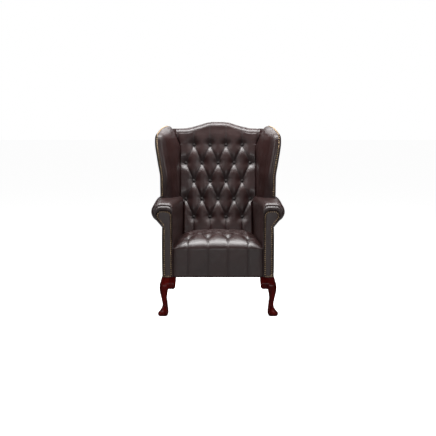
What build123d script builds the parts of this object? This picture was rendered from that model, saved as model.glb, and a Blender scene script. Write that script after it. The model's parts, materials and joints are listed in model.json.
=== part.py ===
from build123d import *
import math
import os

# A deep-buttoned wing chair on cabriole legs, with rolled scroll arms and a serpentine crest.
# Millimetres, +Z up, the front faces -Y, and the origin is on the floor under the middle of the chair.
# Left is the sitter's left, on the +X side. Every left piece is built first and the right one mirrors it.

# Driving dimensions
overall_width = 760.0
overall_depth = 814.0
overall_height = 1090.0
body_width = 636.0
under_height = 222.0
seat_height = 462.0
arm_height = 648.0
back_rake = 13.0

# Cloth, leather and clearances
leather = 2.5
cover_sheet = 3.0
padding = 12.0
sheet_cloth = 1.5
soft_gap = 0.4
overrun = 400.0

# Straight steps that stand for the bends of stuffed forms
tuft_shares = (0.12, 0.55, 1.0)
tuft_facets = 4
corner_facets = 3
scroll_facets = 6
roll_facets = 3

# Front legs
toe_reach = 22.0
leg_stock = 50.0
leg_bolt_radius = 4.0
leg_bolt_length = 96.0
leg_bolt_inset = 30.0
leg_height_shares = (1.0, 0.9, 0.78, 0.645, 0.51, 0.375, 0.285, 0.215, 0.155, 0.085, 0.03, 0.0)
leg_outer_shares = (0.09, 0.36, 0.66, 0.6, 0.32, 0.0, -0.11, 0.05, 0.4, 0.98, 1.0, 0.86)
leg_inner_shares = (1.0, 0.92, 0.8, 0.62, 0.52, 0.58, 0.62, 0.66, 0.68, 0.68, 0.6, 0.54)
leg_round_shares = (0.2, 0.3, 0.42, 0.5, 0.6, 0.74, 0.86, 0.92, 0.94, 0.94, 0.94, 0.94)

# Knee blocks
knee_block_reach = 80.0
knee_block_depth = 24.0
knee_block_drop = 69.0
knee_block_radius = 14.0
knee_waist = 6.0

# Rear legs
rear_leg_stock = 44.0
rear_leg_rake = 85.0
rear_leg_splay = 35.0
rear_height_shares = (1.0, 0.66, 0.33, 0.0)
rear_splay_shares = (0.0, 0.32, 0.74, 1.0)
rear_rake_shares = (0.0, 0.2, 0.56, 1.0)
rear_stock_shares = (1.0, 0.86, 0.76, 0.68)

# Seat rails
rail_height = 96.0
rail_thickness = 32.0
front_layers = 11.0
tenon_length = 12.0
tenon_thickness = 10.0
tenon_shoulder = 16.0
bar_shoulder = 8.0
corner_block_reach = 70.0
corner_block_height = 50.0
corner_block_low = 26.0

# Seat
seat_front_width = 512.0
seat_rear_width = 422.0
arm_pad_depth = 535.0
seat_tuft_rise = 28.0
seat_roll_radius = 50.0
border_crown = 8.0
seat_column = 115.0
seat_row = 105.0
seat_first_row = 185.0
seat_pleat = 3.0
seat_rows = 3
seat_crease = 14.0
spring_count = 5
spring_pitch = 84.0
spring_wire_radius = 2.0
spring_wave = 25.0
spring_step = 34.0
spring_wire_sides = 4
clip_width = 16.0
clip_length = 20.0
clip_wall = 2.0

# Buttons
button_radius = 9.5
button_crown_radius = 6.0
button_sides = 8
button_height = 6.5
button_gap = 0.4

# Back
back_width = 456.0
back_frame_depth = 40.0
back_foam_depth = 66.0
web_depth = 3.0
back_tuft_rise = 27.0
back_column = 97.0
back_row = 110.0
back_first_row = 61.0
back_rows = 5
back_pleat = 2.6
back_tuck = 64.0
post_width = 38.0
post_inset = 10.0
crest_rail_low = 60.0
crest_wrap = 22.0
crest_drop = 40.0
crest_flat = 40.0
crest_shoulder = 190.0
crest_front_radius = 30.0
crest_rear_radius = 22.0
crest_roll_rise = 18.0
crest_pleat_dip = 6.0
crest_pleat_rise = 5.0
web_lap = 26.0
crest_steps = 12
tack_rail_height = 36.0
web_width = 50.0
web_rows = 4
web_columns = 3
web_first_row = 60.0
web_row_pitch = 130.0
web_column_pitch = 110.0

# Arms
scroll_radius = 56.0
scroll_rear_radius = 24.0
scroll_rear_reach = 12.0
scroll_undercut = 60.0
scroll_middle = 15.0
arm_corner_radius = 34.0
arm_neck_drop = 148.0
ring_drop = 20.0
ring_inset = 9.0
ring_depth = 46.0
ring_shares = (0.0, 0.09, 0.28, 0.52, 0.84, 1.0)
ring_inset_shares = (1.35, 0.55, 0.12, 0.0, 0.3, -0.1)
facing_inset = 6.0
facing_top = 600.0
facing_radius = 28.0
facing_outer = 32.0
facing_side_inset = 7.0
facing_neck_drop = 85.0
facing_proud = 1.0
arm_rail_inside = 272.0
arm_rail_width = 66.0
arm_rail_height = 26.0
arm_rail_drop = 42.0
tack_rail_thickness = 26.0
arm_tack_rise = 30.0

# Wings
wing_edge = 56.0
wing_heights = (0.0, 0.2, 0.42, 0.64, 0.86, 1.04)
wing_front_shares = (0.56, 0.9, 1.0, 0.92, 0.4, -0.5)
wing_flare_shares = (0.0, 0.06, 0.3, 0.74, 0.98, 1.0)
wing_advance = 352.0
wing_front_swell = 40.0
wing_low_outer = 340.0
wing_flare = 31.0
wing_lean = 10.0
wing_nose_share = 0.32
wing_crown = 12.0
wing_front_top = 1026.0
wing_rear_top = 1060.0
wing_top_shares = ((-0.1, -1.6), (0.06, -0.6), (0.12, 0.0), (0.2, 0.2), (0.28, 0.5), (0.45, 0.85), (0.75, 1.0),
                   (1.1, 0.95))
wing_post_width = 26.0
wing_post_depth = 40.0
wing_foam_inset = 13.0
wing_post_cover = 4.0

# Places worked out from the sizes above
body_half = body_width / 2
body_front = -overall_depth / 2 + toe_reach
frame_front = body_front + front_layers
rail_top = under_height + rail_height
frame_side = body_half - leather
frame_inside = frame_side - rail_thickness
rake = math.radians(back_rake)
frame_near = -(cover_sheet + back_foam_depth + web_depth)
frame_far = frame_near - back_frame_depth
crest_top = (overall_height - seat_height - crest_front_radius
             - (crest_roll_rise - crest_front_radius) * math.sin(rake)) / math.cos(rake) + crest_front_radius
rear_reach = (crest_top - leather) * math.sin(rake) + (leather - frame_far) * math.cos(rake)
button_plane = overall_depth / 2 - rear_reach
back = Plane(origin=(0, button_plane, seat_height), x_dir=(1, 0, 0), z_dir=(0, -math.cos(rake), math.sin(rake)))
seat_valley = seat_height - seat_tuft_rise
post_outer = body_half - post_inset
post_inner = post_outer - post_width
crest_half = body_half - wing_lean - leather
back_half = back_width / 2
rear_edge = overall_depth / 2
bolt_x = body_half - leg_bolt_inset


def block(x_span, y_span, z_span):
    """A box between two corners, each span giving its low and high side."""
    size = [high - low for low, high in (x_span, y_span, z_span)]
    return Pos(x_span[0], y_span[0], z_span[0]) * Box(*size, align=(Align.MIN, Align.MIN, Align.MIN))


def back_block(u_span, v_span, w_span):
    """A box in the raked frame of the back: u across, v up the slope, w towards the sitter."""
    return back * block(u_span, v_span, w_span)


def back_y(depth, height):
    """Where the plane at this depth of the raked back lies, at a height above the floor."""
    return button_plane + (height - seat_height) * math.tan(rake) - depth / math.cos(rake)


def mirrored(part):
    """The same piece on the chair's other side."""
    return mirror(part, about=Plane.YZ)


def write(name, *pieces):
    """Writes one node, as one solid or as a group of separate solids."""
    solids = [solid for piece in pieces for solid in piece.solids()]
    export_step(solids[0] if len(solids) == 1 else Compound(children=solids), f"parts/{name}.step")


def write_pair(name, *pieces):
    """Writes a left piece and its mirror image."""
    write(f"{name}_left", *pieces)
    write(f"{name}_right", *[mirrored(piece) for piece in pieces])


def polygon(points):
    """A closed outline of straight edges."""
    return Wire.make_polygon([Vector(*point) for point in points], close=True)


def bend(start, middle, end, steps):
    """The arc from one place through another to a third, in straight steps, without its start."""
    arc = Edge.make_three_point_arc(start, middle, end)
    return [arc @ (step / steps) for step in range(1, steps + 1)]


def skin(rings):
    """A solid through rings of places, in flat triangles from each ring to the next."""
    faces = [Face(polygon(rings[0])), Face(polygon(rings[-1]))]
    for near, far in zip(rings, rings[1:]):
        for step in range(len(near)):
            after = (step + 1) % len(near)
            faces.append(Face(polygon([near[step], near[after], far[after]])))
            faces.append(Face(polygon([near[step], far[after], far[step]])))
    return Solid(Shell(faces))


def puff(plane, stations):
    """A stuffed cushion between pleats: each station has its place along v, its two sides and its crown."""
    rings = []
    for along, left, right, crown in stations:
        middle = plane.from_local_coords(((left + right) / 2, along, crown))
        start = plane.from_local_coords((left, along, 0))
        end = plane.from_local_coords((right, along, 0))
        rings.append([start] + bend(start, middle, end, tuft_facets))
    return skin(rings)


def sides(centre, share, column, pleat, limit):
    """The two sides of a tuft where it has this share of its full width; the outermost reach the edge."""
    reach = (column * share - pleat) / 2
    left = -limit if centre - column / 2 < -limit else centre - reach
    right = limit if centre + column / 2 > limit else centre + reach
    return left, right


def half_tuft(plane, centre, tip, wide, column, pleat, rise, limit_at):
    """Half of a diamond between buttons, from the tip at one button to its widest line."""
    stations = []
    for share in tuft_shares:
        along = tip + (wide - tip) * share
        left, right = sides(centre, share, column, pleat, limit_at(along))
        crown = rise * math.sin(share * math.pi / 2) * min(1, (right - left) / (column * share))
        stations.append((along, left, right, crown))
    return puff(plane, stations)


def strip(plane, centre, places, column, pleat, limit_at):
    """A channel of full width between two pleats, with its crown at each place along it."""
    stations = []
    for along, rise in places:
        left, right = sides(centre, 1, column, pleat, limit_at(along))
        stations.append((along, left, right, rise * min(1, (right - left) / (column - pleat))))
    return puff(plane, stations)


def columns(count, pitch):
    """Places across the chair, evenly spaced about its middle."""
    return [(index - (count - 1) / 2) * pitch for index in range(count)]


def button_places(rows, count, pitch, first, row_pitch):
    """The places of buttons in rows that hold more and fewer by turns."""
    places = []
    for row in range(rows):
        extra = (row % 2) * (1 if rows > count else -1)
        places += [(across, first + row * row_pitch) for across in columns(count + extra, pitch)]
    return places


def back_limit(along):
    """Where the back's tufts end at the side: at the arms below and at the wings above them."""
    if along < (arm_height - seat_height) / math.cos(rake):
        return seat_rear_width / 2 - soft_gap - back_pleat
    return back_half - back_pleat


def seat_limit(along):
    """Where the seat's tufts end beside the arms."""
    return arm_inner(along) - soft_gap - seat_pleat


def crest_fall(across):
    """How far the serpentine crest lies below its middle, at a distance from the middle."""
    share = min(1, max(0, (abs(across) - crest_flat) / (crest_shoulder - crest_flat)))
    return crest_drop * (1 - math.cos(math.pi * share)) / 2


# Front legs: a square section that swells at the knee, thins at the ankle and ends in a pad foot
def leg_section(height_share, outer_share, inner_share, round_share):
    """The rounded square of the leg at one height, on the diagonal of the chair's corner."""
    outer = outer_share * toe_reach
    inner = inner_share * leg_stock
    side = outer + inner
    middle_x = body_half + (outer - inner) / 2
    middle_y = body_front - (outer - inner) / 2
    radius = side * round_share / 2
    flat = side / 2 - radius
    points = []
    for quarter, (way_x, way_y) in enumerate(((1, 1), (-1, 1), (-1, -1), (1, -1))):
        for half in range(3):
            angle = (quarter + half / 2) * math.pi / 2
            points.append((middle_x + way_x * flat + radius * math.cos(angle),
                           middle_y + way_y * flat + radius * math.sin(angle), height_share * under_height))
    return points


def make_front_leg():
    """A cabriole leg, with the hole for its hanger bolt."""
    shares = zip(leg_height_shares, leg_outer_shares, leg_inner_shares, leg_round_shares)
    leg = skin([leg_section(*share) for share in shares])
    return leg - leg_bolt(front_bolt_y)


def leg_bolt(y):
    """A hanger bolt, half in the leg and half in the upright above it."""
    return Pos(bolt_x, y, under_height) * Cylinder(leg_bolt_radius, leg_bolt_length)


front_bolt_y = frame_front + rail_thickness / 2
rear_bolt_y = back_y((frame_near + frame_far) / 2, under_height)


def make_knee_blocks(leg):
    """The two shaped brackets that carry the knee's curve along the front and the side."""
    low = under_height - knee_block_drop
    inner = body_half - knee_block_reach
    face = [(body_front - leg_outer_shares[0] * toe_reach, under_height)]
    for height_share, outer_share in list(zip(leg_height_shares, leg_outer_shares))[2:4]:
        face.append((body_front - outer_share * toe_reach, height_share * under_height))
    rear = body_front + knee_block_depth
    p = [(0, y, z) for y, z in face]
    profile = polygon([p[0]] + bend(*p, corner_facets) + [(0, face[-1][0] + knee_block_radius, low), (0, rear, low),
                                                          (0, rear, under_height)])
    bar = Pos(inner, 0, 0) * extrude(Face(profile), knee_block_reach, dir=(1, 0, 0))
    waist = inner + knee_waist
    waist_height = (low + under_height) / 2 + knee_block_radius
    diagonal = knee_block_radius * (1 - math.sqrt(1 / 2))
    toe = (inner + knee_block_radius, 0, low)
    heel = (inner, 0, low + knee_block_radius)
    outline = polygon([(body_half, 0, low), toe]
                      + bend(toe, (inner + diagonal, 0, low + diagonal), heel, corner_facets)
                      + bend(heel, (waist, 0, waist_height), (inner, 0, under_height), corner_facets)
                      + [(body_half, 0, under_height)])
    depth = 2 * toe_reach + 2 * knee_block_depth
    cutter = Pos(0, body_front - depth / 2, 0) * extrude(Face(outline), depth, dir=(0, 1, 0))
    bracket = bar & cutter
    corner = Plane(origin=(body_half, body_front, 0), z_dir=(1, 1, 0))
    leg = leg + leg_bolt(front_bolt_y)
    front = bracket - leg
    return front, mirror(bracket, about=corner) - leg - front


def make_rear_leg():
    """A plain square leg, raked back and splayed outwards."""
    top_x = frame_side - rear_leg_stock / 2
    top_y = back_y((frame_near + frame_far) / 2, under_height)
    sections = []
    for height, splay, slope, stock in zip(rear_height_shares, rear_splay_shares, rear_rake_shares, rear_stock_shares):
        side = rear_leg_stock * stock
        place = Plane(origin=(top_x + rear_leg_splay * splay, top_y + rear_leg_rake * slope, under_height * height))
        sections.append(place * Rectangle(side, side))
    return loft(sections) - leg_bolt(rear_bolt_y)


# Arm profiles, as edges in the plane y = 0
def arm_outline(y, inner_x, outer_x, top, radius, low, inset):
    """The scroll arm seen from the front: inner face, rounded top, scroll, neck and outer side."""
    centre_x = outer_x - radius
    centre_z = top - radius
    turn = radius - inset
    corner = arm_corner_radius
    side = frame_side
    slope = math.radians(scroll_undercut)
    middle = math.radians(scroll_middle)
    diagonal = math.sqrt(1 / 2)
    a = (inner_x + inset, y, low)
    b = (inner_x + inset, y, top - corner)
    b_c = (inner_x + corner - (corner - inset) * diagonal, y, top - corner + (corner - inset) * diagonal)
    c = (inner_x + corner, y, top - inset)
    d = (centre_x, y, top - inset)
    d_e = (centre_x + turn * math.cos(middle), y, centre_z + turn * math.sin(middle))
    e = (centre_x + turn * math.cos(slope), y, centre_z - turn * math.sin(slope))
    f = (side, y, arm_height - arm_neck_drop)
    g = (side, y, low)
    return [a, b] + bend(b, b_c, c, corner_facets) + [d] + bend(d, d_e, e, scroll_facets) + [f, g]


def arm_inner(y):
    """The inner face of the arm, which spreads from the back to the front."""
    share = (y - body_front) / arm_pad_depth
    return seat_front_width / 2 + (seat_rear_width - seat_front_width) / 2 * share


def facing_outline(y, inset=0.0):
    """The front panel of the arm, with its scroll to the outside."""
    inner = seat_front_width / 2 + facing_inset + inset
    side = body_half - facing_side_inset - inset
    outer = body_half + facing_outer - inset
    centre_x = body_half + facing_outer - facing_radius
    centre_z = facing_top - facing_radius
    turn = facing_radius - inset
    corner = arm_corner_radius - inset
    diagonal = math.sqrt(1 / 2)
    slope = math.radians(scroll_undercut)
    middle = math.radians(scroll_middle)
    low = under_height
    top = facing_top - inset
    b = (inner, y, top - corner)
    b_c = (inner + corner * (1 - diagonal), y, top - corner * (1 - diagonal))
    c = (inner + corner, y, top)
    d = (centre_x, y, top)
    d_e = (centre_x + turn * math.cos(middle), y, centre_z + turn * math.sin(middle))
    e = (centre_x + turn * math.cos(slope), y, centre_z - turn * math.sin(slope))
    f = (side, y, facing_top - facing_neck_drop)
    return ([(inner, y, low), b] + bend(b, b_c, c, corner_facets) + [d]
            + bend(d, d_e, e, scroll_facets) + [f, (side, y, low)])


def plate(outline, depth):
    """A flat piece with this outline in the plane y = constant, as deep as stated towards the back."""
    return extrude(Face(polygon(outline)), depth, dir=(0, 1, 0))


def behind_back(across):
    """The space that the back's own layers take, as far across as stated."""
    reach = (-overrun, overrun * 2)
    return back_block((-across, across), reach, (frame_far - overrun, soft_gap))


def keep_front(part):
    """Cuts a piece off at the rear face of the back frame and clears the back and its posts."""
    reach = (-overrun, overrun * 2)
    part = part - back_block((-overrun, overrun), reach, (frame_far - overrun, frame_far))
    part = part - back_block((-back_half - soft_gap, back_half + soft_gap), reach, (frame_far, soft_gap))
    return part - back_block((-post_outer, post_outer), reach, (frame_far, frame_near + web_depth / 2))


def arm_pad(inset, low, start, rear):
    """The straight part of the rolled arm between two planes, its scroll tapering behind the wing."""
    turn = start + arm_pad_depth
    rings = []
    for y, radius, outer in ((start, scroll_radius, overall_width / 2),
                             (turn, scroll_radius, overall_width / 2),
                             (rear, scroll_rear_radius, body_half + scroll_rear_reach)):
        rings.append(arm_outline(y, arm_inner(y), outer, arm_height, radius, low, inset))
    return skin(rings)


def arm_ring():
    """The stuffed ring round the facing, which rolls from the arm to the front panel."""
    rings = []
    for share, inset_share in zip(ring_shares, ring_inset_shares):
        y = body_front + ring_depth * share
        outer = overall_width / 2 - ring_inset * (1 - share)
        top = arm_height - ring_drop * (1 - share)
        rings.append(arm_outline(y, seat_front_width / 2, outer, top, scroll_radius - ring_inset * (1 - share),
                                 under_height, ring_inset * max(0, inset_share)))
    return skin(rings)


def make_arm():
    """The inside arm cover with its ring, the outside arm panel, the facing and what they are stuffed with."""
    start = body_front + ring_depth
    whole = keep_front(arm_pad(0, rail_top, start, rear_edge))
    ring = arm_ring() - plate(facing_outline(body_front - ring_depth, -soft_gap), 2 * ring_depth)
    ring = ring - block((0, seat_front_width / 2 + facing_inset), (frame_front, start), (under_height, rail_top))
    core = keep_front(arm_core(start, rear_edge))
    bars = [make_side_rail(), make_arm_rail(), make_arm_tack_rail(), make_wing_post()]
    cover = whole + ring - core - bars
    facing = plate(facing_outline(body_front + facing_proud), front_layers - facing_proud)
    foam = core - bars - arm_hollow()
    side_panel = block((frame_side, body_half), (body_front + facing_proud, rear_edge),
                       (under_height, arm_height - arm_neck_drop))
    return cover, facing, foam, before_back(side_panel, frame_far)


def arm_core(start, rear):
    """The space inside the arm cover that the arm's frame and foam share, with flat faces."""
    rings = []
    for y, outer, radius in ((start, overall_width / 2, scroll_radius),
                             (start + arm_pad_depth, overall_width / 2, scroll_radius),
                             (rear, body_half + scroll_rear_reach, scroll_rear_radius)):
        top = arm_height - padding
        neck = arm_height - arm_neck_drop
        low_corner = (arm_inner(y) + padding, y, rail_top)
        middle = outer - radius
        lip = (outer - padding, y, arm_height - radius)
        rings.append([low_corner, (arm_inner(y) + padding, y, top - arm_corner_radius),
                      (arm_inner(y) + arm_corner_radius, y, top), (middle, y, top), lip,
                      (middle, y, arm_height - 2 * radius + padding), (frame_side, y, neck),
                      (frame_side, y, rail_top)])
    return skin(rings)


def arm_hollow():
    """The empty space inside the arm frame, between its lining and the outside panel."""
    span = (frame_inside - sheet_cloth, frame_side)
    rise = (rail_top, arm_height - arm_rail_drop - arm_rail_height)
    return block(span, (frame_front, rear_edge), rise)


def make_arm_lining():
    """The cloth that closes the inside of the arm frame, behind the foam."""
    span = (frame_inside - sheet_cloth, frame_inside)
    rise = (rail_top, arm_height - arm_rail_drop - arm_rail_height)
    sheet = block(span, (frame_front + rail_thickness, rear_edge), rise)
    return before_back(sheet, frame_near + web_depth / 2) - make_arm_tack_rail()


def make_arm_post():
    """The scroll-topped front upright of the arm frame, which stands on the front leg."""
    post = plate(facing_outline(frame_front), rail_thickness)
    post = post - make_front_rail() - make_side_rail() - make_arm_rail() - make_arm_tack_rail()
    return post - leg_bolt(front_bolt_y)


def before_back(part, depth):
    """What of a piece lies in front of the plane at this depth of the raked back."""
    return part - back_block((-overrun, overrun), (-2 * overrun, 2 * overrun), (depth - overrun, depth))


def tenon_span(low, high, shoulder=tenon_shoulder):
    """A stated span without its shoulders."""
    return (low + shoulder, high - shoulder)


def make_front_rail():
    """The front rail between the arm posts, with a tenon at each end."""
    half = seat_front_width / 2 + facing_inset
    depth = (frame_front, frame_front + rail_thickness)
    rail = block((-half, half), depth, (under_height, rail_top))
    middle = frame_front + rail_thickness / 2
    tongue = (middle - tenon_thickness / 2, middle + tenon_thickness / 2)
    return rail + block((-half - tenon_length, half + tenon_length), tongue, tenon_span(under_height, rail_top))


def make_side_rail():
    """A side rail from the arm post to the back post, with a tenon at each end."""
    front = frame_front + rail_thickness
    rear_tongue = tenon_span(under_height, rail_top)
    middle = frame_side - rail_thickness / 2
    tongue = (middle - tenon_thickness / 2, middle + tenon_thickness / 2)
    rail = before_back(block((frame_inside, frame_side), (front, rear_edge), (under_height, rail_top)), frame_near)
    tail = before_back(block(tongue, (front, rear_edge), rear_tongue), frame_near - tenon_length)
    return rail + block(tongue, (front - tenon_length, front), rear_tongue) + tail


def side_bar(width, low, high):
    """A bar of the arm frame from the arm post to the back post, with a tenon at its front end."""
    front = frame_front + rail_thickness
    bar = before_back(block(width, (front, rear_edge), (low, high)), frame_near)
    return bar + block(tenon_span(*width, bar_shoulder), (front - tenon_length, front),
                       tenon_span(low, high, bar_shoulder))


def make_arm_rail():
    """The flat top rail of the arm, which the roll is stuffed over."""
    low = arm_height - arm_rail_drop - arm_rail_height
    return side_bar((arm_rail_inside, arm_rail_inside + arm_rail_width), low, low + arm_rail_height)


def make_arm_tack_rail():
    """The lower arm rail, where the inside cover is tacked down."""
    low = rail_top + arm_tack_rise
    return side_bar((frame_inside, frame_inside + tack_rail_thickness), low, low + tack_rail_height)


# Wings
def wing_sizes(share):
    """Height, front edge, outer edge and rear edge of the wing, by interpolation between its shares."""
    height = arm_height + soft_gap + (overall_height - arm_height) * wing_heights[share]
    front = body_front + wing_advance - wing_front_swell * (wing_front_shares[share] - 1)
    outer = wing_low_outer + wing_flare * wing_flare_shares[share]
    rear = body_half - wing_lean * wing_heights[share]
    return height, front, outer, rear


def wing_outline(share):
    """The wing's padded section at one height, without its outside leather."""
    height, front, outer, rear = wing_sizes(share)
    outer = outer - leather
    rear = rear - leather
    inner = outer - wing_edge
    nose = wing_edge * wing_nose_share
    back_low = back_y(frame_far, height)
    root = (back_half + soft_gap, back_y(back_tuft_rise / 2, height), height)
    far_root = (back_half + soft_gap, back_low, height)
    far_side = (rear, back_low, height)
    shoulder = (outer, front + nose, height)
    tip = (outer - wing_edge / 2, front, height)
    cheek = (inner, front + nose, height)
    belly = ((inner + root[0]) / 2 - wing_crown, (front + nose + root[1]) / 2, height)
    return ([root, far_root, far_side, shoulder] + bend(shoulder, tip, cheek, scroll_facets)
            + bend(cheek, belly, root, corner_facets)[:-1])


def wing_side(share, along):
    """Where the inside of the wing's outside leather lies, at one height and at this depth."""
    height, front, outer, rear = wing_sizes(share)
    edge = front + wing_edge * wing_nose_share
    return outer - leather - soft_gap - (outer - rear) * (along - edge) / (back_y(frame_far, height) - edge)


def wing_core(share):
    """The wing's foam at one height, with flat faces."""
    height, front, outer, rear = wing_sizes(share)
    inset = wing_foam_inset
    nose = front + wing_edge * wing_nose_share + inset / 2
    points = [(back_half + inset, back_y(0, height)), (back_half + inset, back_y(frame_far, height)),
              (rear - leather - soft_gap, back_y(frame_far, height)), (wing_side(share, nose), nose),
              (outer - wing_edge + inset, nose)]
    return [(x, y, height) for x, y in points]


def wing_side_outline(share, inset):
    """All that lies inside the wing's outer side at one height, less an inset."""
    height, front, outer, rear = wing_sizes(share)
    edge = front + wing_edge * wing_nose_share
    points = [(rear - inset, back_y(frame_far, height)), (outer - inset, edge), (0, edge),
              (0, back_y(frame_far, height))]
    return [(x, y, height) for x, y in points]


def wing_top_cut(drop):
    """What lies above the wing's S-shaped top edge."""
    front = body_front + wing_advance - wing_front_swell
    rise = wing_rear_top - wing_front_top
    run = overall_depth / 2 - front
    low = wing_front_top - drop
    edge = [(0, front + run * along, low + rise * height) for along, height in wing_top_shares]
    high = overall_height + overrun
    outline = polygon(edge + [(0, edge[-1][1], high), (0, edge[0][1], high)])
    return extrude(Face(outline), overall_width, dir=(1, 0, 0))


def make_wing_post():
    """The front upright of the wing, which leans out with it and is tenoned into the arm rail."""
    rings = []
    for share in range(len(wing_heights) - 2):
        height, front, outer, rear = wing_sizes(share)
        near = front + wing_edge * wing_nose_share + wing_foam_inset
        far = near + wing_post_depth
        near_side = wing_side(share, near) - wing_post_cover
        far_side = wing_side(share, far) - wing_post_cover
        points = [(near_side - wing_post_width, near), (near_side, near), (far_side, far),
                  (far_side - wing_post_width, far)]
        if share == 0:
            rings.append([(x, y, arm_height - arm_rail_drop) for x, y in points])
        rings.append([(x, y, height) for x, y in points])
    return skin(rings)


def make_wing_rail():
    """The top rail of the wing, from its front upright to the back post."""
    level = len(wing_heights) - 3
    height, front, outer, rear = wing_sizes(level)
    edge = front + wing_edge * wing_nose_share + wing_foam_inset
    side = wing_side(level, edge) - wing_post_cover
    near = [(side - wing_post_width, edge), (side, edge)]
    far = [(post_outer, back_y(frame_near, height)), (post_outer - wing_post_width, back_y(frame_near, height))]
    outline = polygon([(x, y, height) for x, y in near + far])
    return extrude(Face(outline), arm_rail_height, dir=(0, 0, 1))


def make_wing():
    """The wing's padded cover, its foam and its outside leather."""
    levels = range(len(wing_heights))
    crest = back_block((0, body_half), (crest_seat, overrun * 2), (frame_far, frame_near))
    whole = keep_front(skin([wing_outline(share) for share in levels]))
    whole = whole - wing_top_cut(0) - crest
    core = keep_front(skin([wing_core(share) for share in levels]))
    core = core - wing_top_cut(padding) - crest
    sheet = skin([wing_side_outline(share, 0) for share in levels])
    sheet = sheet - skin([wing_side_outline(share, leather) for share in levels]) - wing_top_cut(0)
    bars = [make_wing_post(), make_wing_rail()]
    return whole - core - bars, core - bars, sheet


# Back
def crest_outline(drop, half, low):
    """The serpentine top edge of the back, lowered by a drop, closed by a straight lower edge."""
    points = []
    for step in range(crest_steps + 1):
        across = -half + 2 * half * step / crest_steps
        points.append((across, crest_top - drop - crest_fall(across)))
    return polygon([(x, y, 0) for x, y in points] + [(half, low, 0), (-half, low, 0)])


def make_back_post():
    """A back post, raked, from the underside of the rails to the crest rail."""
    post = back_block((post_inner, post_outer), (-overrun, crest_seat), (frame_far, frame_near))
    post = post - block((0, overall_width), (-overall_depth, overall_depth), (-overrun, under_height))
    post = post - make_rear_rail() - make_side_rail() - make_tack_rail()
    return post - leg_bolt(rear_bolt_y) - crest_tenons()


def cross_rail(low, high, thickness):
    """A rail between the back posts, with a tenon at each end."""
    span = (-post_inner, post_inner)
    depth = (frame_near - thickness, frame_near)
    middle = frame_near - thickness / 2
    tongue = (middle - tenon_thickness / 2, middle + tenon_thickness / 2)
    rail = back_block(span, (low, high), depth)
    return rail + back_block((span[0] - tenon_length, span[1] + tenon_length), tenon_span(low, high), tongue)


def make_rear_rail():
    """The rear seat rail."""
    low = (under_height - seat_height - (frame_near - rail_thickness) * math.sin(rake)) / math.cos(rake)
    return cross_rail(low, low + rail_height, rail_thickness)


def make_tack_rail():
    """The lower back rail, just above the seat, where the webbing and the cover end."""
    return cross_rail(-back_tuck, -back_tuck + tack_rail_height, rail_thickness)


def make_crest_rail():
    """The crest rail, cut to the serpentine line, with a tenon down into each post."""
    outline = crest_outline(crest_wrap, crest_half, crest_seat)
    rail = extrude(back * (Pos(0, 0, frame_far) * Face(outline)), back_frame_depth, dir=back.z_dir)
    return rail + crest_tenons()


def make_outside_back():
    """The leather panel over the whole rear of the chair."""
    low = (under_height - seat_height - (frame_far - leather) * math.sin(rake)) / math.cos(rake)
    outline = crest_outline(leather, crest_half, low)
    return extrude(back * (Pos(0, 0, frame_far - leather) * Face(outline)), leather, dir=back.z_dir)


def crest_tenons():
    """The crest rail's two tenons, one into the top of each back post."""
    depth = tenon_span(frame_far, frame_near, (back_frame_depth - tenon_thickness) / 2)
    tenons = []
    for side in (-1, 1):
        span = sorted((side * (post_inner + bar_shoulder), side * (post_outer - bar_shoulder)))
        tenons.append(back_block(span, (crest_seat - tenon_length, crest_seat), depth))
    return tenons


crest_seat = crest_top - crest_drop - crest_rail_low


def make_webbing():
    """The back's webbing: straps across between the posts, and straps up in front of them."""
    half = web_width / 2
    layer = web_depth / 2
    top = crest_seat + web_lap
    low = -back_tuck
    straps = []
    for row in range(web_rows):
        middle = web_first_row + row * web_row_pitch
        straps.append(back_block((-post_outer, post_outer), (middle - half, middle + half),
                                 (frame_near, frame_near + layer)))
    for middle in columns(web_columns, web_column_pitch):
        straps.append(back_block((middle - half, middle + half), (low, top),
                                 (frame_near + layer, frame_near + web_depth)))
    return straps


def make_back_foam():
    """The slab of foam between the webbing and the buttoned cover."""
    return back_block((-back_half, back_half), (-back_tuck, crest_seat), (frame_near + web_depth, -cover_sheet))


def make_back_cover():
    """The deep-buttoned inside back, with full channels above and below the diamonds."""
    sheet = back_block((-back_half, back_half), (-back_tuck, crest_seat), (-cover_sheet, 0))
    top_row = back_first_row + (back_rows - 1) * back_row
    rise = back_tuft_rise
    pieces = []
    for row in range(1, back_rows - 1):
        along = back_first_row + row * back_row
        for centre in columns(4 + (row + 1) % 2, back_column):
            for tip in (along - back_row, along + back_row):
                pieces.append(half_tuft(back, centre, tip, along, back_column, back_pleat, rise, back_limit))
    for centre in columns(5, back_column):
        for start, way, end in ((top_row, -1, crest_seat), (back_first_row, 1, cover_sheet)):
            tip = start + way * back_row
            pieces.append(half_tuft(back, centre, tip, start, back_column, back_pleat, rise, back_limit))
            pieces.append(strip(back, centre, ((start, rise), (end, rise)), back_column, back_pleat, back_limit))
    return sheet + pieces - button_seats(back, back_buttons_at)


def crest_section(across, rise, dip):
    """The stuffed crest's section over the rail, as high as the serpentine line there."""
    top = crest_top - crest_fall(across) - dip
    near = crest_roll_rise - dip
    low = crest_seat
    turn = crest_front_radius - dip
    far = crest_rear_radius
    diagonal = math.sqrt(1 / 2)
    points = [(low, rise), (top - turn, near), (top - turn * (1 - diagonal), near - turn * (1 - diagonal)),
              (top, near - turn), (top, frame_far + far),
              (top - far * (1 - diagonal), frame_far + far * (1 - diagonal)), (top - far, frame_far),
              (low, frame_far)]
    return [back.from_local_coords((across, v, w)) for v, w in points]


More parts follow.
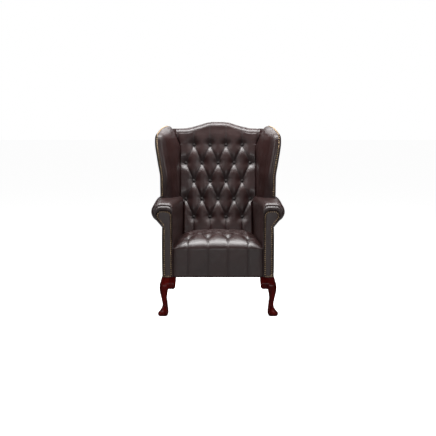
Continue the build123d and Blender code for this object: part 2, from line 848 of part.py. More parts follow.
def make_crest_roll():
    """The roll over the crest, drawn in at each pleat, and its shoulders over the back posts."""
    rings = [crest_section(-back_half, crest_pleat_rise, crest_pleat_dip)]
    for step in range(-4, 5):
        pleat = step % 2
        rings.append(crest_section(step * back_column / 2, crest_pleat_rise if pleat else back_tuft_rise,
                                   crest_pleat_dip if pleat else 0))
    rings.append(crest_section(back_half, crest_pleat_rise, crest_pleat_dip))
    roll = skin(rings)
    high = crest_top - crest_drop - crest_pleat_dip
    shoulders = []
    for side in (-1, 1):
        span = sorted((side * (back_half - soft_gap), side * crest_half))
        shoulders.append(back_block(span, (crest_seat, high), (frame_far, frame_near)))
    return roll + shoulders - make_crest_rail() - make_webbing()


def button_seats(plane, places):
    """The hollows that the buttons sit in, cut down to the sheet."""
    hollow = extrude(RegularPolygon(button_radius + button_gap, button_sides), overrun)
    return [plane * (Pos(u, v, 0) * hollow) for u, v in places]


def make_buttons(plane, places):
    """Covered buttons with a bevelled crown, one in each hollow."""
    rings = []
    for radius, height in ((button_radius, 0), (button_radius, button_height / 2),
                           (button_crown_radius, button_height)):
        turns = [2 * math.pi * side / button_sides for side in range(button_sides)]
        rings.append([(radius * math.cos(turn), radius * math.sin(turn), height) for turn in turns])
    button = skin(rings)
    return [plane * (Pos(u, v, 0) * button) for u, v in places]


# Seat
def seat_side():
    """The seat's plan between the arms, wider in front."""
    front = body_front - border_crown
    rear = overall_depth / 2
    points = [(-arm_inner(front) + soft_gap, front), (arm_inner(front) - soft_gap, front),
              (arm_inner(rear) - soft_gap, rear), (-arm_inner(rear) + soft_gap, rear)]
    outline = polygon([(x, y, 0) for x, y in points])
    return extrude(Face(outline), overall_height, dir=(0, 0, 1)) - behind_back(overall_width)


def seat_profile(inset, low):
    """The seat's front and top seen from the side: a straight border, the front roll and the flat top."""
    front = body_front + border_crown + inset
    turn = seat_roll_radius - inset
    middle_y = body_front + border_crown + seat_roll_radius
    middle_z = seat_valley - seat_roll_radius
    diagonal = math.sqrt(1 / 2)
    start = (0, front, middle_z)
    halfway = (0, middle_y - turn * diagonal, middle_z + turn * diagonal)
    end = (0, middle_y, middle_z + turn)
    rear = (0, overall_depth / 2, middle_z + turn)
    return Face(polygon([(0, front, low), start] + bend(start, halfway, end, roll_facets)
                        + [rear, (0, rear[1], low)]))


def seat_body(inset, low):
    """The seat's plain form, from side to side."""
    half = seat_front_width / 2
    return (Pos(-half, 0, 0) * extrude(seat_profile(inset, low), 2 * half, dir=(1, 0, 0))) & seat_side()


def border_channel(centre):
    """One channel of the seat front, over the front roll and down to the rail."""
    turn_y = body_front + border_crown + seat_roll_radius
    turn_z = seat_valley - seat_roll_radius
    left, right = sides(centre, 1, seat_column, seat_pleat, seat_limit(turn_y))
    rise = border_crown * min(1, (right - left) / (seat_column - seat_pleat))
    start = (left, turn_y, seat_valley)
    crown = ((left + right) / 2, turn_y, seat_valley + rise)
    arc = [start] + bend(start, crown, (right, turn_y, seat_valley), tuft_facets)
    rings = []
    for step in range(roll_facets + 1):
        angle = math.pi / 2 * step / roll_facets
        rings.append([(x, turn_y - (z - turn_z) * math.sin(angle), turn_z + (z - turn_z) * math.cos(angle))
                      for x, y, z in arc])
    rings.append([(x, y, under_height) for x, y, z in rings[-1]])
    return skin(rings)


def make_seat_cover():
    """The seat cover: a thin sheet over the foam, with its tufts and its channelled front."""
    top = Plane(origin=(0, 0, seat_valley))
    sheet = seat_body(0, under_height) - seat_body(cover_sheet, -overrun)
    turn_y = body_front + border_crown + seat_roll_radius
    first = body_front + seat_first_row
    last = first + (seat_rows - 1) * seat_row
    middle = (first + last) / 2
    crease = back_y(seat_crease, seat_valley)
    rise = seat_tuft_rise
    pieces = []
    for centre in columns(4, seat_column):
        for tip in (first, last):
            pieces.append(half_tuft(top, centre, tip, middle, seat_column, seat_pleat, rise, seat_limit))
    front_places = ((first, rise), ((first + turn_y) / 2, (rise + border_crown) / 2), (turn_y, border_crown))
    for centre in columns(5, seat_column):
        if abs(centre) < 2 * seat_column:
            for wide in (first, last):
                pieces.append(half_tuft(top, centre, middle, wide, seat_column, seat_pleat, rise, seat_limit))
        pieces.append(strip(top, centre, front_places, seat_column, seat_pleat, seat_limit))
        pieces.append(strip(top, centre, ((last, rise), (crease, rise)), seat_column, seat_pleat, seat_limit))
        pieces.append(border_channel(centre))
    cover = sheet + pieces
    return cover - button_seats(top, seat_buttons_at)


def make_seat_foam():
    """The block of seat foam on the hessian, rounded at the front."""
    return seat_body(cover_sheet, hessian_top)


def make_hessian():
    """The hessian over the springs."""
    sheet = block((-seat_rear_width / 2 + soft_gap, seat_rear_width / 2 - soft_gap), (frame_front, rear_edge),
                  (hessian_top - sheet_cloth, hessian_top))
    return before_back(sheet, soft_gap)


def spring_ends():
    """Where each spring starts and ends, from the front rail to the rear rail."""
    return frame_front + rail_thickness / 2, back_y(frame_near, spring_height) - clip_length / 2


def make_spring(across):
    """One sinuous spring: a wire that winds from side to side between the rails."""
    start, end = spring_ends()
    waves = round((end - start) / spring_step)
    step = (end - start) / waves
    points = []
    for wave in range(waves + 1):
        way = 1 if wave % 2 else -1
        y = start + wave * step
        bars = [(-way * spring_wave, y - step / 2), (-way * (spring_wave - step / 2), y),
                (way * (spring_wave - step / 2), y)]
        points += bars[1:] if wave == 0 else bars
    path = Polyline(*[(across + x, y, spring_height) for x, y in points])
    section = Plane(origin=path @ 0, z_dir=path % 0) * RegularPolygon(spring_wire_radius, spring_wire_sides)
    return sweep(section, path=path, transition=Transition.RIGHT)


def make_clip(across, at_front):
    """A clip that holds one end of a spring to the top of a rail."""
    start, end = spring_ends()
    wire = spring_wire_radius
    half = clip_width / 2
    if at_front:
        depth = (start - clip_length / 2, start + wire + clip_wall)
        slot = (start - wire, rear_edge)
    else:
        depth = (end - wire - clip_wall, rear_edge)
        slot = (-rear_edge, end + wire)
    thick = wire + clip_wall
    body = block((across - half, across + half), depth, (spring_height - thick, spring_height + thick))
    body = body - block((-overrun, overrun), slot, (spring_height - wire, spring_height + wire))
    return body if at_front else before_back(body, frame_near)


def make_corner_blocks():
    """The four blocks glued into the corners of the seat rails."""
    low = under_height + corner_block_low
    high = low + corner_block_height
    front = frame_front + rail_thickness
    rear = back_y(frame_near, low)
    blocks = []
    for start, way in ((front, 1), (rear, -1)):
        points = [(frame_inside, start + way * corner_block_reach), (frame_inside - corner_block_reach, start)]
        points += [(frame_inside - corner_block_reach, start - way * tenon_shoulder),
                   (frame_inside, start - way * tenon_shoulder)]
        piece = extrude(Face(polygon([(x, y, low) for x, y in points])), high - low, dir=(0, 0, 1))
        piece = before_back(piece, frame_near) - block((0, rear_edge), (-rear_edge, front), (low, high))
        blocks += [piece, mirrored(piece)]
    return blocks


def make_dust_cover():
    """The dark cloth under the seat, cut round the legs."""
    half = body_half - knee_block_depth - soft_gap
    sheet = block((-half, half), (body_front + knee_block_depth + soft_gap, rear_edge),
                  (under_height - sheet_cloth, under_height))
    sheet = before_back(sheet, frame_near - rail_thickness)
    front = body_front + leg_stock + soft_gap
    rear = rear_bolt_y - rear_leg_stock / 2 - soft_gap
    corner = body_half - leg_stock - soft_gap
    for side in (-1, 1):
        span = sorted((side * corner, side * body_half))
        sheet = sheet - block(span, (-rear_edge, front), (0, rail_top)) - block(span, (rear, rear_edge), (0, rail_top))
    return sheet


back_buttons_at = button_places(back_rows, 4, back_column, back_first_row, back_row)
seat_buttons_at = button_places(seat_rows, 4, seat_column, body_front + seat_first_row, seat_row)
spring_height = rail_top + spring_wire_radius + clip_wall
hessian_top = spring_height + spring_wire_radius + clip_wall + sheet_cloth


def main():
    """Builds every piece and writes one STEP file for each node."""
    os.makedirs("parts", exist_ok=True)
    front_leg = make_front_leg()
    knee_blocks = make_knee_blocks(front_leg)
    rear_leg = make_rear_leg()
    cover, facing, arm_foam, outside_arm = make_arm()
    wing_cover, wing_foam, outside_wing = make_wing()
    bolts = [leg_bolt(front_bolt_y), leg_bolt(rear_bolt_y)]
    write_pair("front_leg", front_leg)
    write_pair("knee_blocks", *knee_blocks)
    write_pair("rear_leg", rear_leg)
    write("leg_bolts", *bolts, *[mirrored(bolt) for bolt in bolts])
    write("front_rail", make_front_rail())
    write("rear_rail", make_rear_rail())
    write_pair("side_rail", make_side_rail())
    write("corner_blocks", *make_corner_blocks())
    write_pair("arm_post", make_arm_post())
    write_pair("arm_rail", make_arm_rail())
    write_pair("arm_tack_rail", make_arm_tack_rail())
    write_pair("arm_lining", make_arm_lining())
    write_pair("arm_foam", arm_foam)
    write_pair("arm_cover", cover)
    write_pair("arm_facing", facing)
    write_pair("outside_arm", outside_arm)
    write_pair("back_post", make_back_post())
    write("crest_rail", make_crest_rail())
    write("back_tack_rail", make_tack_rail())
    write("back_webbing", *make_webbing())
    write("back_foam", make_back_foam())
    write("back_cover", make_back_cover())
    write("crest_roll", make_crest_roll())
    write("back_buttons", *make_buttons(back, back_buttons_at))
    write("outside_back", make_outside_back())
    write_pair("wing_post", make_wing_post())
    write_pair("wing_rail", make_wing_rail())
    write_pair("wing_foam", wing_foam)
    write_pair("wing_cover", wing_cover)
    write_pair("outside_wing", outside_wing)
    places = columns(spring_count, spring_pitch)
    write("seat_springs", *[make_spring(across) for across in places])
    write("spring_clips", *[make_clip(across, at_front) for across in places for at_front in (True, False)])
    write("hessian", make_hessian())
    write("seat_foam", make_seat_foam())
    write("seat_cover", make_seat_cover())
    write("seat_buttons", *make_buttons(Plane(origin=(0, 0, seat_valley)), seat_buttons_at))
    write("dust_cover", make_dust_cover())


main()
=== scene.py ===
"""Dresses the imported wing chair: leather, nails, buttons, polished legs, the stage and the camera."""
import json
import math

import bpy
from mathutils import Matrix, Vector, noise


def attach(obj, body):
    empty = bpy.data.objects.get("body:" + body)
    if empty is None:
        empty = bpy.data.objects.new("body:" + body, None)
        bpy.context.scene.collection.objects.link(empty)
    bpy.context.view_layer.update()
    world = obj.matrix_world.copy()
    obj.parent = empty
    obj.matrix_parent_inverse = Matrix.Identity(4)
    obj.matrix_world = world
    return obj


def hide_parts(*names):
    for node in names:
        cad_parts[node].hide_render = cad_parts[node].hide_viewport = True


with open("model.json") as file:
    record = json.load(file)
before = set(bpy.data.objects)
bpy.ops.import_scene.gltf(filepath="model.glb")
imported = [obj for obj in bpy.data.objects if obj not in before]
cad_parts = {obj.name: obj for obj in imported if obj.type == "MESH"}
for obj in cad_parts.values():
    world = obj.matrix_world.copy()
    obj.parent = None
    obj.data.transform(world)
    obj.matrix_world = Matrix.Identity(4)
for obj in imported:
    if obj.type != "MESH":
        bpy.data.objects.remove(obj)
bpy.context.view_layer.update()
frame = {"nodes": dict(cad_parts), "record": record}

bl_info = {
    "name": "Buttoned wing chair",
    "version": (1, 0, 0),
    "blender": (4, 5, 0),
    "location": "View3D > Sidebar > Wing chair",
    "description": "Leather, nails, buttons and polished legs for a deep-buttoned wing chair",
    "category": "Object",
}

MM = 0.001

# The chair's body, in millimetres, as in the part's source
BODY_HALF = 318.0
BODY_FRONT = -385.0
UNDER = 222.0
HEM = 220.5
RAKE = math.radians(13)
BACK_FOOT = 150.57
SEAT_TOP = 462.0
ARM_TOP = 648.0
BACK_HALF = 228.0
BACK_FAR = -112.0
CREST_TOP = 646.5
SEAT_VALLEY = 434.0
SHOULDER = 380.0
ARM_SPREAD = 256.0
ARM_NARROWING = 45.0
ARM_RUN = 535.0
BODY_TAPER = 10
TAPER_RISE = 442

# Rows of tufts, and where the first row of buttons lies: up the back's slope, and by its depth on the seat
BACK_ROWS = 4
BACK_FIRST = 61.0
SEAT_ROWS = 3
SEAT_FIRST = -285.0

# How far the serpentine crest lies below its middle, against the distance from the middle
CREST_FORM = [(0, 0), (40, 0.4), (58, 3), (78, 9), (100, 17), (132, 26.5), (156, 33), (178, 38.5), (205, 40),
              (260, 40), (320, 40)]

# Points closer than this are one point
SEAM_GAP = 0.02

# Thicknesses of the leather and the lining
HIDE = 2.5
SOFT_HIDE = 2.0
PANEL_HIDE = 1.5
WING_PANEL_HIDE = 1.2
LINING = 0.8

# The angles, in degrees, past which an edge is shaded sharp
SOFT_EDGE = 55
TUFT_EDGE = 70
BUTTON_EDGE = 40
NAIL_EDGE = 60
WOOD_EDGE = 35

# Faces of each sheet, across and along
BACK_FACES = (150, 290)
SEAT_FACES = (148, 220)
ARM_ROWS = 110
ARM_WADDING_ROWS = 40
FACING_COLUMNS = 16
WING_FACES = (80, 150)
WING_PANEL_FACES = (50, 110)
ARM_PANEL_FACES = (70, 36)
BACK_PANEL_FACES = (76, 110)
LINING_FACES = (60, 60)
LEG_FACES = (40, 90)
KNEE_FACES = (24, 24)


# Curves and places
def smooth(low, high, value):
    """0 below low, 1 above high, and an even curve between."""
    share = min(1.0, max(0.0, (value - low) / (high - low)))
    return share * share * (3 - 2 * share)


def mix(a, b, share):
    """The value this share of the way from a to b."""
    return a + (b - a) * share


def read_off(table, value):
    """Reads a table of (place, size) pairs at a place, on a smooth curve through them."""
    if value <= table[0][0]:
        return table[0][1]
    for index in range(len(table) - 1):
        (x0, y0), (x1, y1) = table[index], table[index + 1]
        if value <= x1:
            before = table[max(0, index - 1)]
            after = table[min(len(table) - 1, index + 2)]
            slope0 = (y1 - before[1]) / (x1 - before[0])
            slope1 = (after[1] - y0) / (after[0] - x0)
            t = (value - x0) / (x1 - x0)
            run = x1 - x0
            return ((2 * t ** 3 - 3 * t ** 2 + 1) * y0 + (t ** 3 - 2 * t ** 2 + t) * run * slope0
                    + (3 * t ** 2 - 2 * t ** 3) * y1 + (t ** 3 - t ** 2) * run * slope1)
    return table[-1][1]


class Course:
    """A smooth line through points, read by the share of its length."""

    def __init__(self, points):
        places = [Vector(p) for p in points]
        marks = [0.0]
        for a, b in zip(places, places[1:]):
            marks.append(marks[-1] + (b - a).length)
        self.length = marks[-1]
        self.tables = [list(zip(marks, values)) for values in zip(*places)]

    def at(self, share):
        """The point at this share of the length."""
        return Vector([read_off(table, share * self.length) for table in self.tables])


def on_back(u, v, w):
    """A point of the raked back: u across, v up the slope, w towards the sitter."""
    return Vector((u, BACK_FOOT + v * math.sin(RAKE) - w * math.cos(RAKE),
                   SEAT_TOP + v * math.cos(RAKE) + w * math.sin(RAKE)))


def back_depth(w, z):
    """How far back the plane at w of the raked back lies, at a height."""
    return BACK_FOOT + (z - SEAT_TOP) * math.tan(RAKE) - w / math.cos(RAKE)


def arm_inner(y):
    """The inner face of the arm, which spreads towards the front."""
    return ARM_SPREAD - ARM_NARROWING * (y - BODY_FRONT) / ARM_RUN


def crest_fall(u):
    """How far the serpentine crest lies below its middle."""
    return read_off(CREST_FORM, abs(u))


def uneven(depth, x, y, z):
    """A slow change of height over a surface, of about this depth."""
    return depth * noise.noise(Vector((x, y, z)))


# Meshes
def shaped_grid(name, faces, place):
    """A grid whose points go where place(s, t) says, in millimetres, with the crease value that it gives,
    kept for painted shade in its folds and seams.
    """
    bpy.ops.object.select_all(action="DESELECT")
    bpy.ops.mesh.primitive_grid_add(x_subdivisions=faces[0], y_subdivisions=faces[1], size=1)
    piece = bpy.context.object
    piece.name = piece.data.name = name
    depths = []
    for vertex in piece.data.vertices:
        point, depth = place(vertex.co.x + 0.5, vertex.co.y + 0.5)
        depths.append(depth)
        vertex.co = Vector(point) * MM
    crease_shade = piece.data.attributes.new("crease_shade", "FLOAT", "POINT")
    crease_shade.data.foreach_set("value", depths)
    return piece


def only(piece):
    """Selects one piece alone."""
    bpy.ops.object.select_all(action="DESELECT")
    piece.select_set(True)
    bpy.context.view_layer.objects.active = piece


def close_seams(piece):
    """Merges the points that lie on each other."""
    only(piece)
    bpy.ops.object.mode_set(mode="EDIT")
    bpy.ops.mesh.select_all(action="SELECT")
    bpy.ops.mesh.remove_doubles(threshold=SEAM_GAP * MM)
    bpy.ops.object.mode_set(mode="OBJECT")


def thicken(piece, thickness=HIDE):
    """Gives a sheet its thickness, inwards."""
    only(piece)
    modifier = piece.modifiers.new("thickness", "SOLIDIFY")
    modifier.thickness = thickness * MM
    modifier.offset = -1
    bpy.ops.object.modifier_apply(modifier=modifier.name)


def copied(piece, name):
    """A copy of a piece with its own mesh."""
    copy = piece.copy()
    copy.data = piece.data.copy()
    copy.name = copy.data.name = name
    bpy.context.scene.collection.objects.link(copy)
    return copy


def other_side(piece, name):
    """A copy of a left piece, mirrored to the right."""
    copy = copied(piece, name)
    copy.data.transform(Matrix.Scale(-1, 4, (1, 0, 0)))
    copy.data.flip_normals()
    return copy


def finished(piece, finish, nodes=(), angle=SOFT_EDGE):
    """Gives a piece its finish and shading, and says what it rides on and replaces."""
    piece.data.materials.clear()
    piece.data.materials.append(finish)
    only(piece)
    bpy.ops.object.shade_smooth_by_angle(angle=math.radians(angle))
    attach(piece, "root")
    if nodes:
        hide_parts(*nodes)


def wadding(sheet, name, depth, thickness):
    """A layer of foam under a sheet that has no thickness yet, this deep below it and this thick."""
    foam = copied(sheet, name)
    for vertex, normal in zip(foam.data.vertices, [Vector(v.normal) for v in foam.data.vertices]):
        vertex.co -= normal * depth * MM
    thicken(foam, thickness)
    return foam


def finished_pair(piece, stem, nodes, finish="leather", angle=SOFT_EDGE):
    """Finishes a left piece and its right copy."""
    for side, half in (("right", other_side(piece, f"{stem}_right")), ("left", piece)):
        finished(half, finishes()[finish], [f"{node}_{side}" for node in nodes], angle)


# Finishes
class Recipe:
    """Short words for building a node tree."""

    def __init__(self, tree):
        self.tree = tree
        self.column = 0

    def add(self, kind, **values):
        """Adds a node; names that are inputs are set or linked, the rest are its settings."""
        node = self.tree.nodes.new(kind)
        self.column += 1
        node.location = (self.column % 6 * 200, -(self.column // 6) * 260)
        for key, value in values.items():
            if hasattr(node, key) and not isinstance(value, bpy.types.NodeSocket):
                setattr(node, key, value)
                continue
            numbered = key.startswith("in_")
            socket = node.inputs[int(key[3:]) if numbered else key.replace("_", " ")]
            if isinstance(value, bpy.types.NodeSocket):
                self.tree.links.new(value, socket)
            else:
                socket.default_value = value
        return node

    def math(self, operation, a, b=0.0, limit=False):
        """The result of an operation on two values."""
        return self.add("ShaderNodeMath", operation=operation, use_clamp=limit, in_0=a, in_1=b).outputs[0]

    def blend(self, factor, a, b):
        """A colour between two others."""
        return self.add("ShaderNodeMix", data_type="RGBA", in_0=factor, in_6=a, in_7=b).outputs[2]

    def spread(self, value, low, high, to_low=0.0, to_high=1.0):
        """Stretches a range of a value to another, and holds it there."""
        return self.add("ShaderNodeMapRange", in_0=value, in_1=low, in_2=high, in_3=to_low,
                        in_4=to_high).outputs[0]


def effect(name, sockets, outputs):
    """A new node group with a place, number inputs and number outputs, its recipe and its two end nodes."""
    tree = bpy.data.node_groups.new(name, "ShaderNodeTree")
    for label, value in sockets:
        kind = "NodeSocketVector" if label == "Place" else "NodeSocketFloat"
        socket = tree.interface.new_socket(label, in_out="INPUT", socket_type=kind)
        if label != "Place":
            socket.default_value = value
    for label in outputs:
        tree.interface.new_socket(label, in_out="OUTPUT", socket_type="NodeSocketFloat")
    return tree, Recipe(tree), tree.nodes.new("NodeGroupInput"), tree.nodes.new("NodeGroupOutput")


def make_grain_effect():
    """Hide grain: fine pebbles with wrinkles between, and broad cloudy change of tone."""
    tree, r, given, result = effect("hide_grain", (("Place", None), ("Pebble", 620.0), ("Cloud", 9.0)),
                                    ("Height", "Cloud", "Pores"))
    place = given.outputs["Place"]
    warp = r.add("ShaderNodeTexNoise", Vector=place, Scale=90.0, Detail=2.0)
    pushed = r.add("ShaderNodeVectorMath", operation="MULTIPLY_ADD", in_0=warp.outputs["Color"],
                   in_1=(0.004, 0.004, 0.004), in_2=place)
    pebble = r.add("ShaderNodeTexVoronoi", feature="DISTANCE_TO_EDGE", Vector=pushed.outputs[0],
                   Scale=given.outputs["Pebble"])
    wrinkle = r.add("ShaderNodeTexNoise", Vector=place, Scale=140.0, Detail=5.0, Roughness=0.62)
    domes = r.spread(pebble.outputs["Distance"], 0.0, 0.28)
    height = r.math("ADD", r.math("MULTIPLY", domes, 0.55), r.math("MULTIPLY", wrinkle.outputs[0], 0.75))
    cloud = r.add("ShaderNodeTexNoise", Vector=place, Scale=given.outputs["Cloud"], Detail=4.0, Roughness=0.6)
    tree.links.new(height, result.inputs["Height"])
    tree.links.new(r.spread(cloud.outputs[0], 0.3, 0.7), result.inputs["Cloud"])
    tree.links.new(r.spread(pebble.outputs["Distance"], 0.0, 0.08, 1.0, 0.0), result.inputs["Pores"])


def make_figure_effect():
    """Wood figure: long streaks along one way with fine pores."""
    tree, r, given, result = effect("wood_figure", (("Place", None), ("Stretch", 0.08)), ("Streaks", "Pores"))
    split = r.add("ShaderNodeSeparateXYZ", in_0=given.outputs["Place"])
    long = r.math("MULTIPLY", split.outputs[2], given.outputs["Stretch"])
    place = r.add("ShaderNodeCombineXYZ", in_0=split.outputs[0], in_1=split.outputs[1], in_2=long).outputs[0]
    broad = r.add("ShaderNodeTexNoise", Vector=place, Scale=34.0, Detail=3.0, Distortion=0.7)
    fine = r.add("ShaderNodeTexNoise", Vector=place, Scale=420.0, Detail=2.0)
    streaks = r.math("ADD", r.math("MULTIPLY", broad.outputs[0], 0.75),
                     r.math("MULTIPLY", fine.outputs[0], 0.25))
    tree.links.new(r.spread(streaks, 0.34, 0.66), result.inputs["Streaks"])
    tree.links.new(r.spread(fine.outputs[0], 0.58, 0.72), result.inputs["Pores"])


def make_weave_effect():
    """A plain weave: threads over and under each other."""
    tree, r, given, result = effect("plain_weave", (("Place", None), ("Threads", 500.0)), ("Height", "Tone"))
    split = r.add("ShaderNodeSeparateXYZ", in_0=given.outputs["Place"])
    waves = []
    for index in (0, 1, 2):
        turn = r.math("MULTIPLY", split.outputs[index], given.outputs["Threads"])
        waves.append(r.math("SINE", r.math("MULTIPLY", turn, math.tau)))
    product = r.math("MULTIPLY", r.math("ADD", waves[0], waves[2]), waves[1])
    fuzz = r.add("ShaderNodeTexNoise", Vector=given.outputs["Place"], Scale=260.0, Detail=3.0)
    tree.links.new(r.spread(product, -1.0, 1.0), result.inputs["Height"])
    tree.links.new(r.spread(fuzz.outputs[0], 0.3, 0.7), result.inputs["Tone"])


def use_effect(r, name, **values):
    """Places an effect in a material, on the piece's own place."""
    node = r.tree.nodes.new("ShaderNodeGroup")
    node.node_tree = bpy.data.node_groups[name]
    place = r.add("ShaderNodeTexCoord").outputs["Object"]
    r.tree.links.new(place, node.inputs["Place"])
    for key, value in values.items():
        node.inputs[key].default_value = value
    return node


def new_finish(name):
    """A new material, its recipe and its surface shader."""
    finish = bpy.data.materials.new(name)
    finish.use_nodes = True
    recipe = Recipe(finish.node_tree)
    return finish, recipe, finish.node_tree.nodes["Principled BSDF"]


def relief(r, surface, height, depth, strength=1.0):
    """Fine relief on a surface, as deep as stated in metres."""
    bump = r.add("ShaderNodeBump", Height=height, Distance=depth, Strength=strength)
    r.tree.links.new(bump.outputs[0], surface.inputs["Normal"])


def make_leather():
    """Dark oxblood hide: darker in the folds, seams and on the buttons by painted shade, redder and glossier
    where it is rubbed.
    """
    colours = bpy.context.scene.chair_colours
    finish, r, surface = new_finish("oxblood_leather")
    grain = use_effect(r, "hide_grain")
    crease_shade = r.add("ShaderNodeAttribute", attribute_name="crease_shade").outputs["Fac"]
    toned = r.blend(grain.outputs["Cloud"], (*colours.leather, 1), (*colours.leather_worn, 1))
    # Painted shade: the crease value darkens the hide towards the fold colour in pleats, seams, button pits
    # and on the buttons.
    folds = r.math("MULTIPLY", crease_shade, 0.85, limit=True)
    dark = r.blend(folds, toned, (*colours.leather_fold_shade, 1))
    pores = r.math("MULTIPLY", grain.outputs["Pores"], 0.35)
    coloured = r.blend(pores, dark, (*colours.leather_fold_shade, 1))
    r.tree.links.new(coloured, surface.inputs["Base Color"])
    rough = r.spread(grain.outputs["Cloud"], 0.0, 1.0, 0.37, 0.44)
    r.tree.links.new(r.math("ADD", rough, r.math("MULTIPLY", crease_shade, 0.4)), surface.inputs["Roughness"])
    r.tree.links.new(r.spread(crease_shade, 0.0, 0.6, 0.14, 0.0), surface.inputs["Coat Weight"])
    surface.inputs["Specular IOR Level"].default_value = 0.5
    surface.inputs["Coat Roughness"].default_value = 0.2
    relief(r, surface, grain.outputs["Height"], 0.0004, 0.55)
    return finish


def make_wood(name, dark, light, stretch, rough, coat):
    """Wood with streaks along the upright, polished or plain."""
    finish, r, surface = new_finish(name)
    figure = use_effect(r, "wood_figure", Stretch=stretch)
    toned = r.blend(figure.outputs["Streaks"], dark, light)
    pores = r.math("MULTIPLY", figure.outputs["Pores"], 0.5)
    deep = (*(0.4 * c for c in dark[:3]), 1)
    r.tree.links.new(r.blend(pores, toned, deep), surface.inputs["Base Color"])
    roughness = r.spread(figure.outputs["Streaks"], 0.0, 1.0, rough, rough + 0.1)
    r.tree.links.new(roughness, surface.inputs["Roughness"])
    surface.inputs["Specular IOR Level"].default_value = 0.06
    surface.inputs["Coat Weight"].default_value = coat
    surface.inputs["Coat Roughness"].default_value = 0.12
    relief(r, surface, figure.outputs["Streaks"], 0.0002, 0.3)
    return finish


def make_cloth(name, dark, light, threads):
    """Woven cloth: hessian, webbing or lining."""
    finish, r, surface = new_finish(name)
    weave = use_effect(r, "plain_weave", Threads=threads)
    shade = r.math("MULTIPLY", weave.outputs["Height"], weave.outputs["Tone"])
    r.tree.links.new(r.blend(shade, dark, light), surface.inputs["Base Color"])
    surface.inputs["Roughness"].default_value = 0.9
    surface.inputs["Sheen Weight"].default_value = 0.15
    relief(r, surface, weave.outputs["Height"], 0.0006, 0.8)
    return finish


def make_metal(name, colour, rough, tarnish):
    """Steel or brass, dulled in patches."""
    finish, r, surface = new_finish(name)
    place = r.add("ShaderNodeTexCoord").outputs["Object"]
    patch = r.add("ShaderNodeTexNoise", Vector=place, Scale=150.0, Detail=4.0).outputs[0]
    dull = r.spread(patch, 0.4, 0.68)
    r.tree.links.new(r.blend(dull, (*colour, 1), (*tarnish, 1)), surface.inputs["Base Color"])
    r.tree.links.new(r.spread(dull, 0.0, 1.0, rough, rough + 0.25), surface.inputs["Roughness"])
    surface.inputs["Metallic"].default_value = 1.0
    relief(r, surface, patch, 0.0002, 0.25)
    return finish


def make_foam():
    """Pale open-celled foam and wadding."""
    finish, r, surface = new_finish("foam")
    place = r.add("ShaderNodeTexCoord").outputs["Object"]
    cells = r.add("ShaderNodeTexVoronoi", Vector=place, Scale=500.0).outputs["Distance"]
    r.tree.links.new(r.blend(cells, (0.78, 0.7, 0.5, 1), (0.9, 0.86, 0.72, 1)), surface.inputs["Base Color"])
    surface.inputs["Roughness"].default_value = 0.95
    relief(r, surface, cells, 0.0008, 0.7)
    return finish


made = {}


def finishes():
    """All finishes by name, made at the first call."""
    if not made:
        colours = bpy.context.scene.chair_colours
        make_grain_effect()
        make_figure_effect()
        make_weave_effect()
        made["leather"] = make_leather()
        made["mahogany"] = make_wood("polished_mahogany", (*colours.wood_dark, 1), (*colours.wood_light, 1),
                                     0.1, 0.26, 0.05)
        made["beech"] = make_wood("plain_beech", (0.42, 0.26, 0.14, 1), (0.66, 0.47, 0.3, 1), 0.12, 0.6, 0.0)
        made["jute"] = make_cloth("jute", (0.2, 0.13, 0.06, 1), (0.55, 0.42, 0.25, 1), 380.0)
        made["webbing"] = make_cloth("webbing", (0.14, 0.1, 0.07, 1), (0.42, 0.34, 0.24, 1), 520.0)
        made["lining"] = make_cloth("black_lining", (0.006, 0.006, 0.006, 1), (0.035, 0.034, 0.033, 1), 900.0)
        made["steel"] = make_metal("bare_steel", (0.42, 0.42, 0.43), 0.32, (0.2, 0.19, 0.18))
        made["brass"] = make_metal("antique_brass", tuple(colours.nail), 0.34, (0.09, 0.06, 0.035))
        made["foam"] = make_foam()
    return made


# Tufting
# A pleat keeps this share of a tuft's rise, and the powers shape the crown, the sides and the pits
PLEAT = 0.42
FLAT_PLEAT = 0.6
CROWN_POWER = 2.6
FLAT_CROWN_POWER = 9.0
SIDE_POWER = 0.58
PIT_POWER = 1.7
BACK_PIT = 28.0
SEAT_PIT = 24.0

# The painted shade line in a pleat: its depth, how thin it is between the tufts and past the rows, and the
# painted shade round a button's rim
LINE_DEPTH = 0.8
BACK_LINE = (16, 40)
SEAT_LINE = (14, 44)
BUTTON_RIM = (8, 17)


def tuft_share(a, b, rows):
    """How far a point lies from the middle of its tuft, from 0 to 1 at the pleats."""
    if b <= 0 or b >= rows:
        return abs(a - 2 * round(a / 2))
    best = 1.0
    for j in (math.floor(b), math.floor(b) + 1):
        for i in (math.floor(a), math.floor(a) + 1):
            if (i + j) % 2 == 0:
                best = min(best, abs(a - i) + abs(b - j))
    return best


def tuft_height(share, near, over, pit):
    """The height of a tuft as a share of its rise: sharp at pleats, lowest at buttons, flat past the rows."""
    flat = smooth(0.1, 1.0, over)
    pleat = mix(PLEAT, FLAT_PLEAT, flat)
    swell = (1 - share ** mix(CROWN_POWER, FLAT_CROWN_POWER, flat)) ** SIDE_POWER
    return (1 - math.exp(-(near / pit) ** PIT_POWER)) * (pleat + (1 - pleat) * swell)


def pleat_shade(share, over, near, line, fade=1.0):
    """How deep a point lies in a pleat or beside a button, from 0 to 1, which the leather shows as painted
    shade.
    """
    thin = mix(line[0], line[1], smooth(0, 1, over))
    return max(share ** thin * LINE_DEPTH * fade, 1 - smooth(*BUTTON_RIM, near))


def past_rows(b, rows):
    """How far, in rows, a point lies beyond the first or last row of buttons."""
    return max(0.0, -b, b - rows)


def button_marks(rows, pitch, first, row_pitch, counts):
    """The places of the buttons, row by row."""
    marks = []
    for row in range(rows + 1):
        count = counts[row % 2]
        for index in range(count):
            marks.append(((index - (count - 1) / 2) * pitch, first + row * row_pitch))
    return marks


def nearest(marks, x, y):
    """The distance to the nearest button and the direction from it."""
    best = min(marks, key=lambda mark: (mark[0] - x) ** 2 + (mark[1] - y) ** 2)
    return math.hypot(x - best[0], y - best[1]), math.atan2(y - best[1], x - best[0])


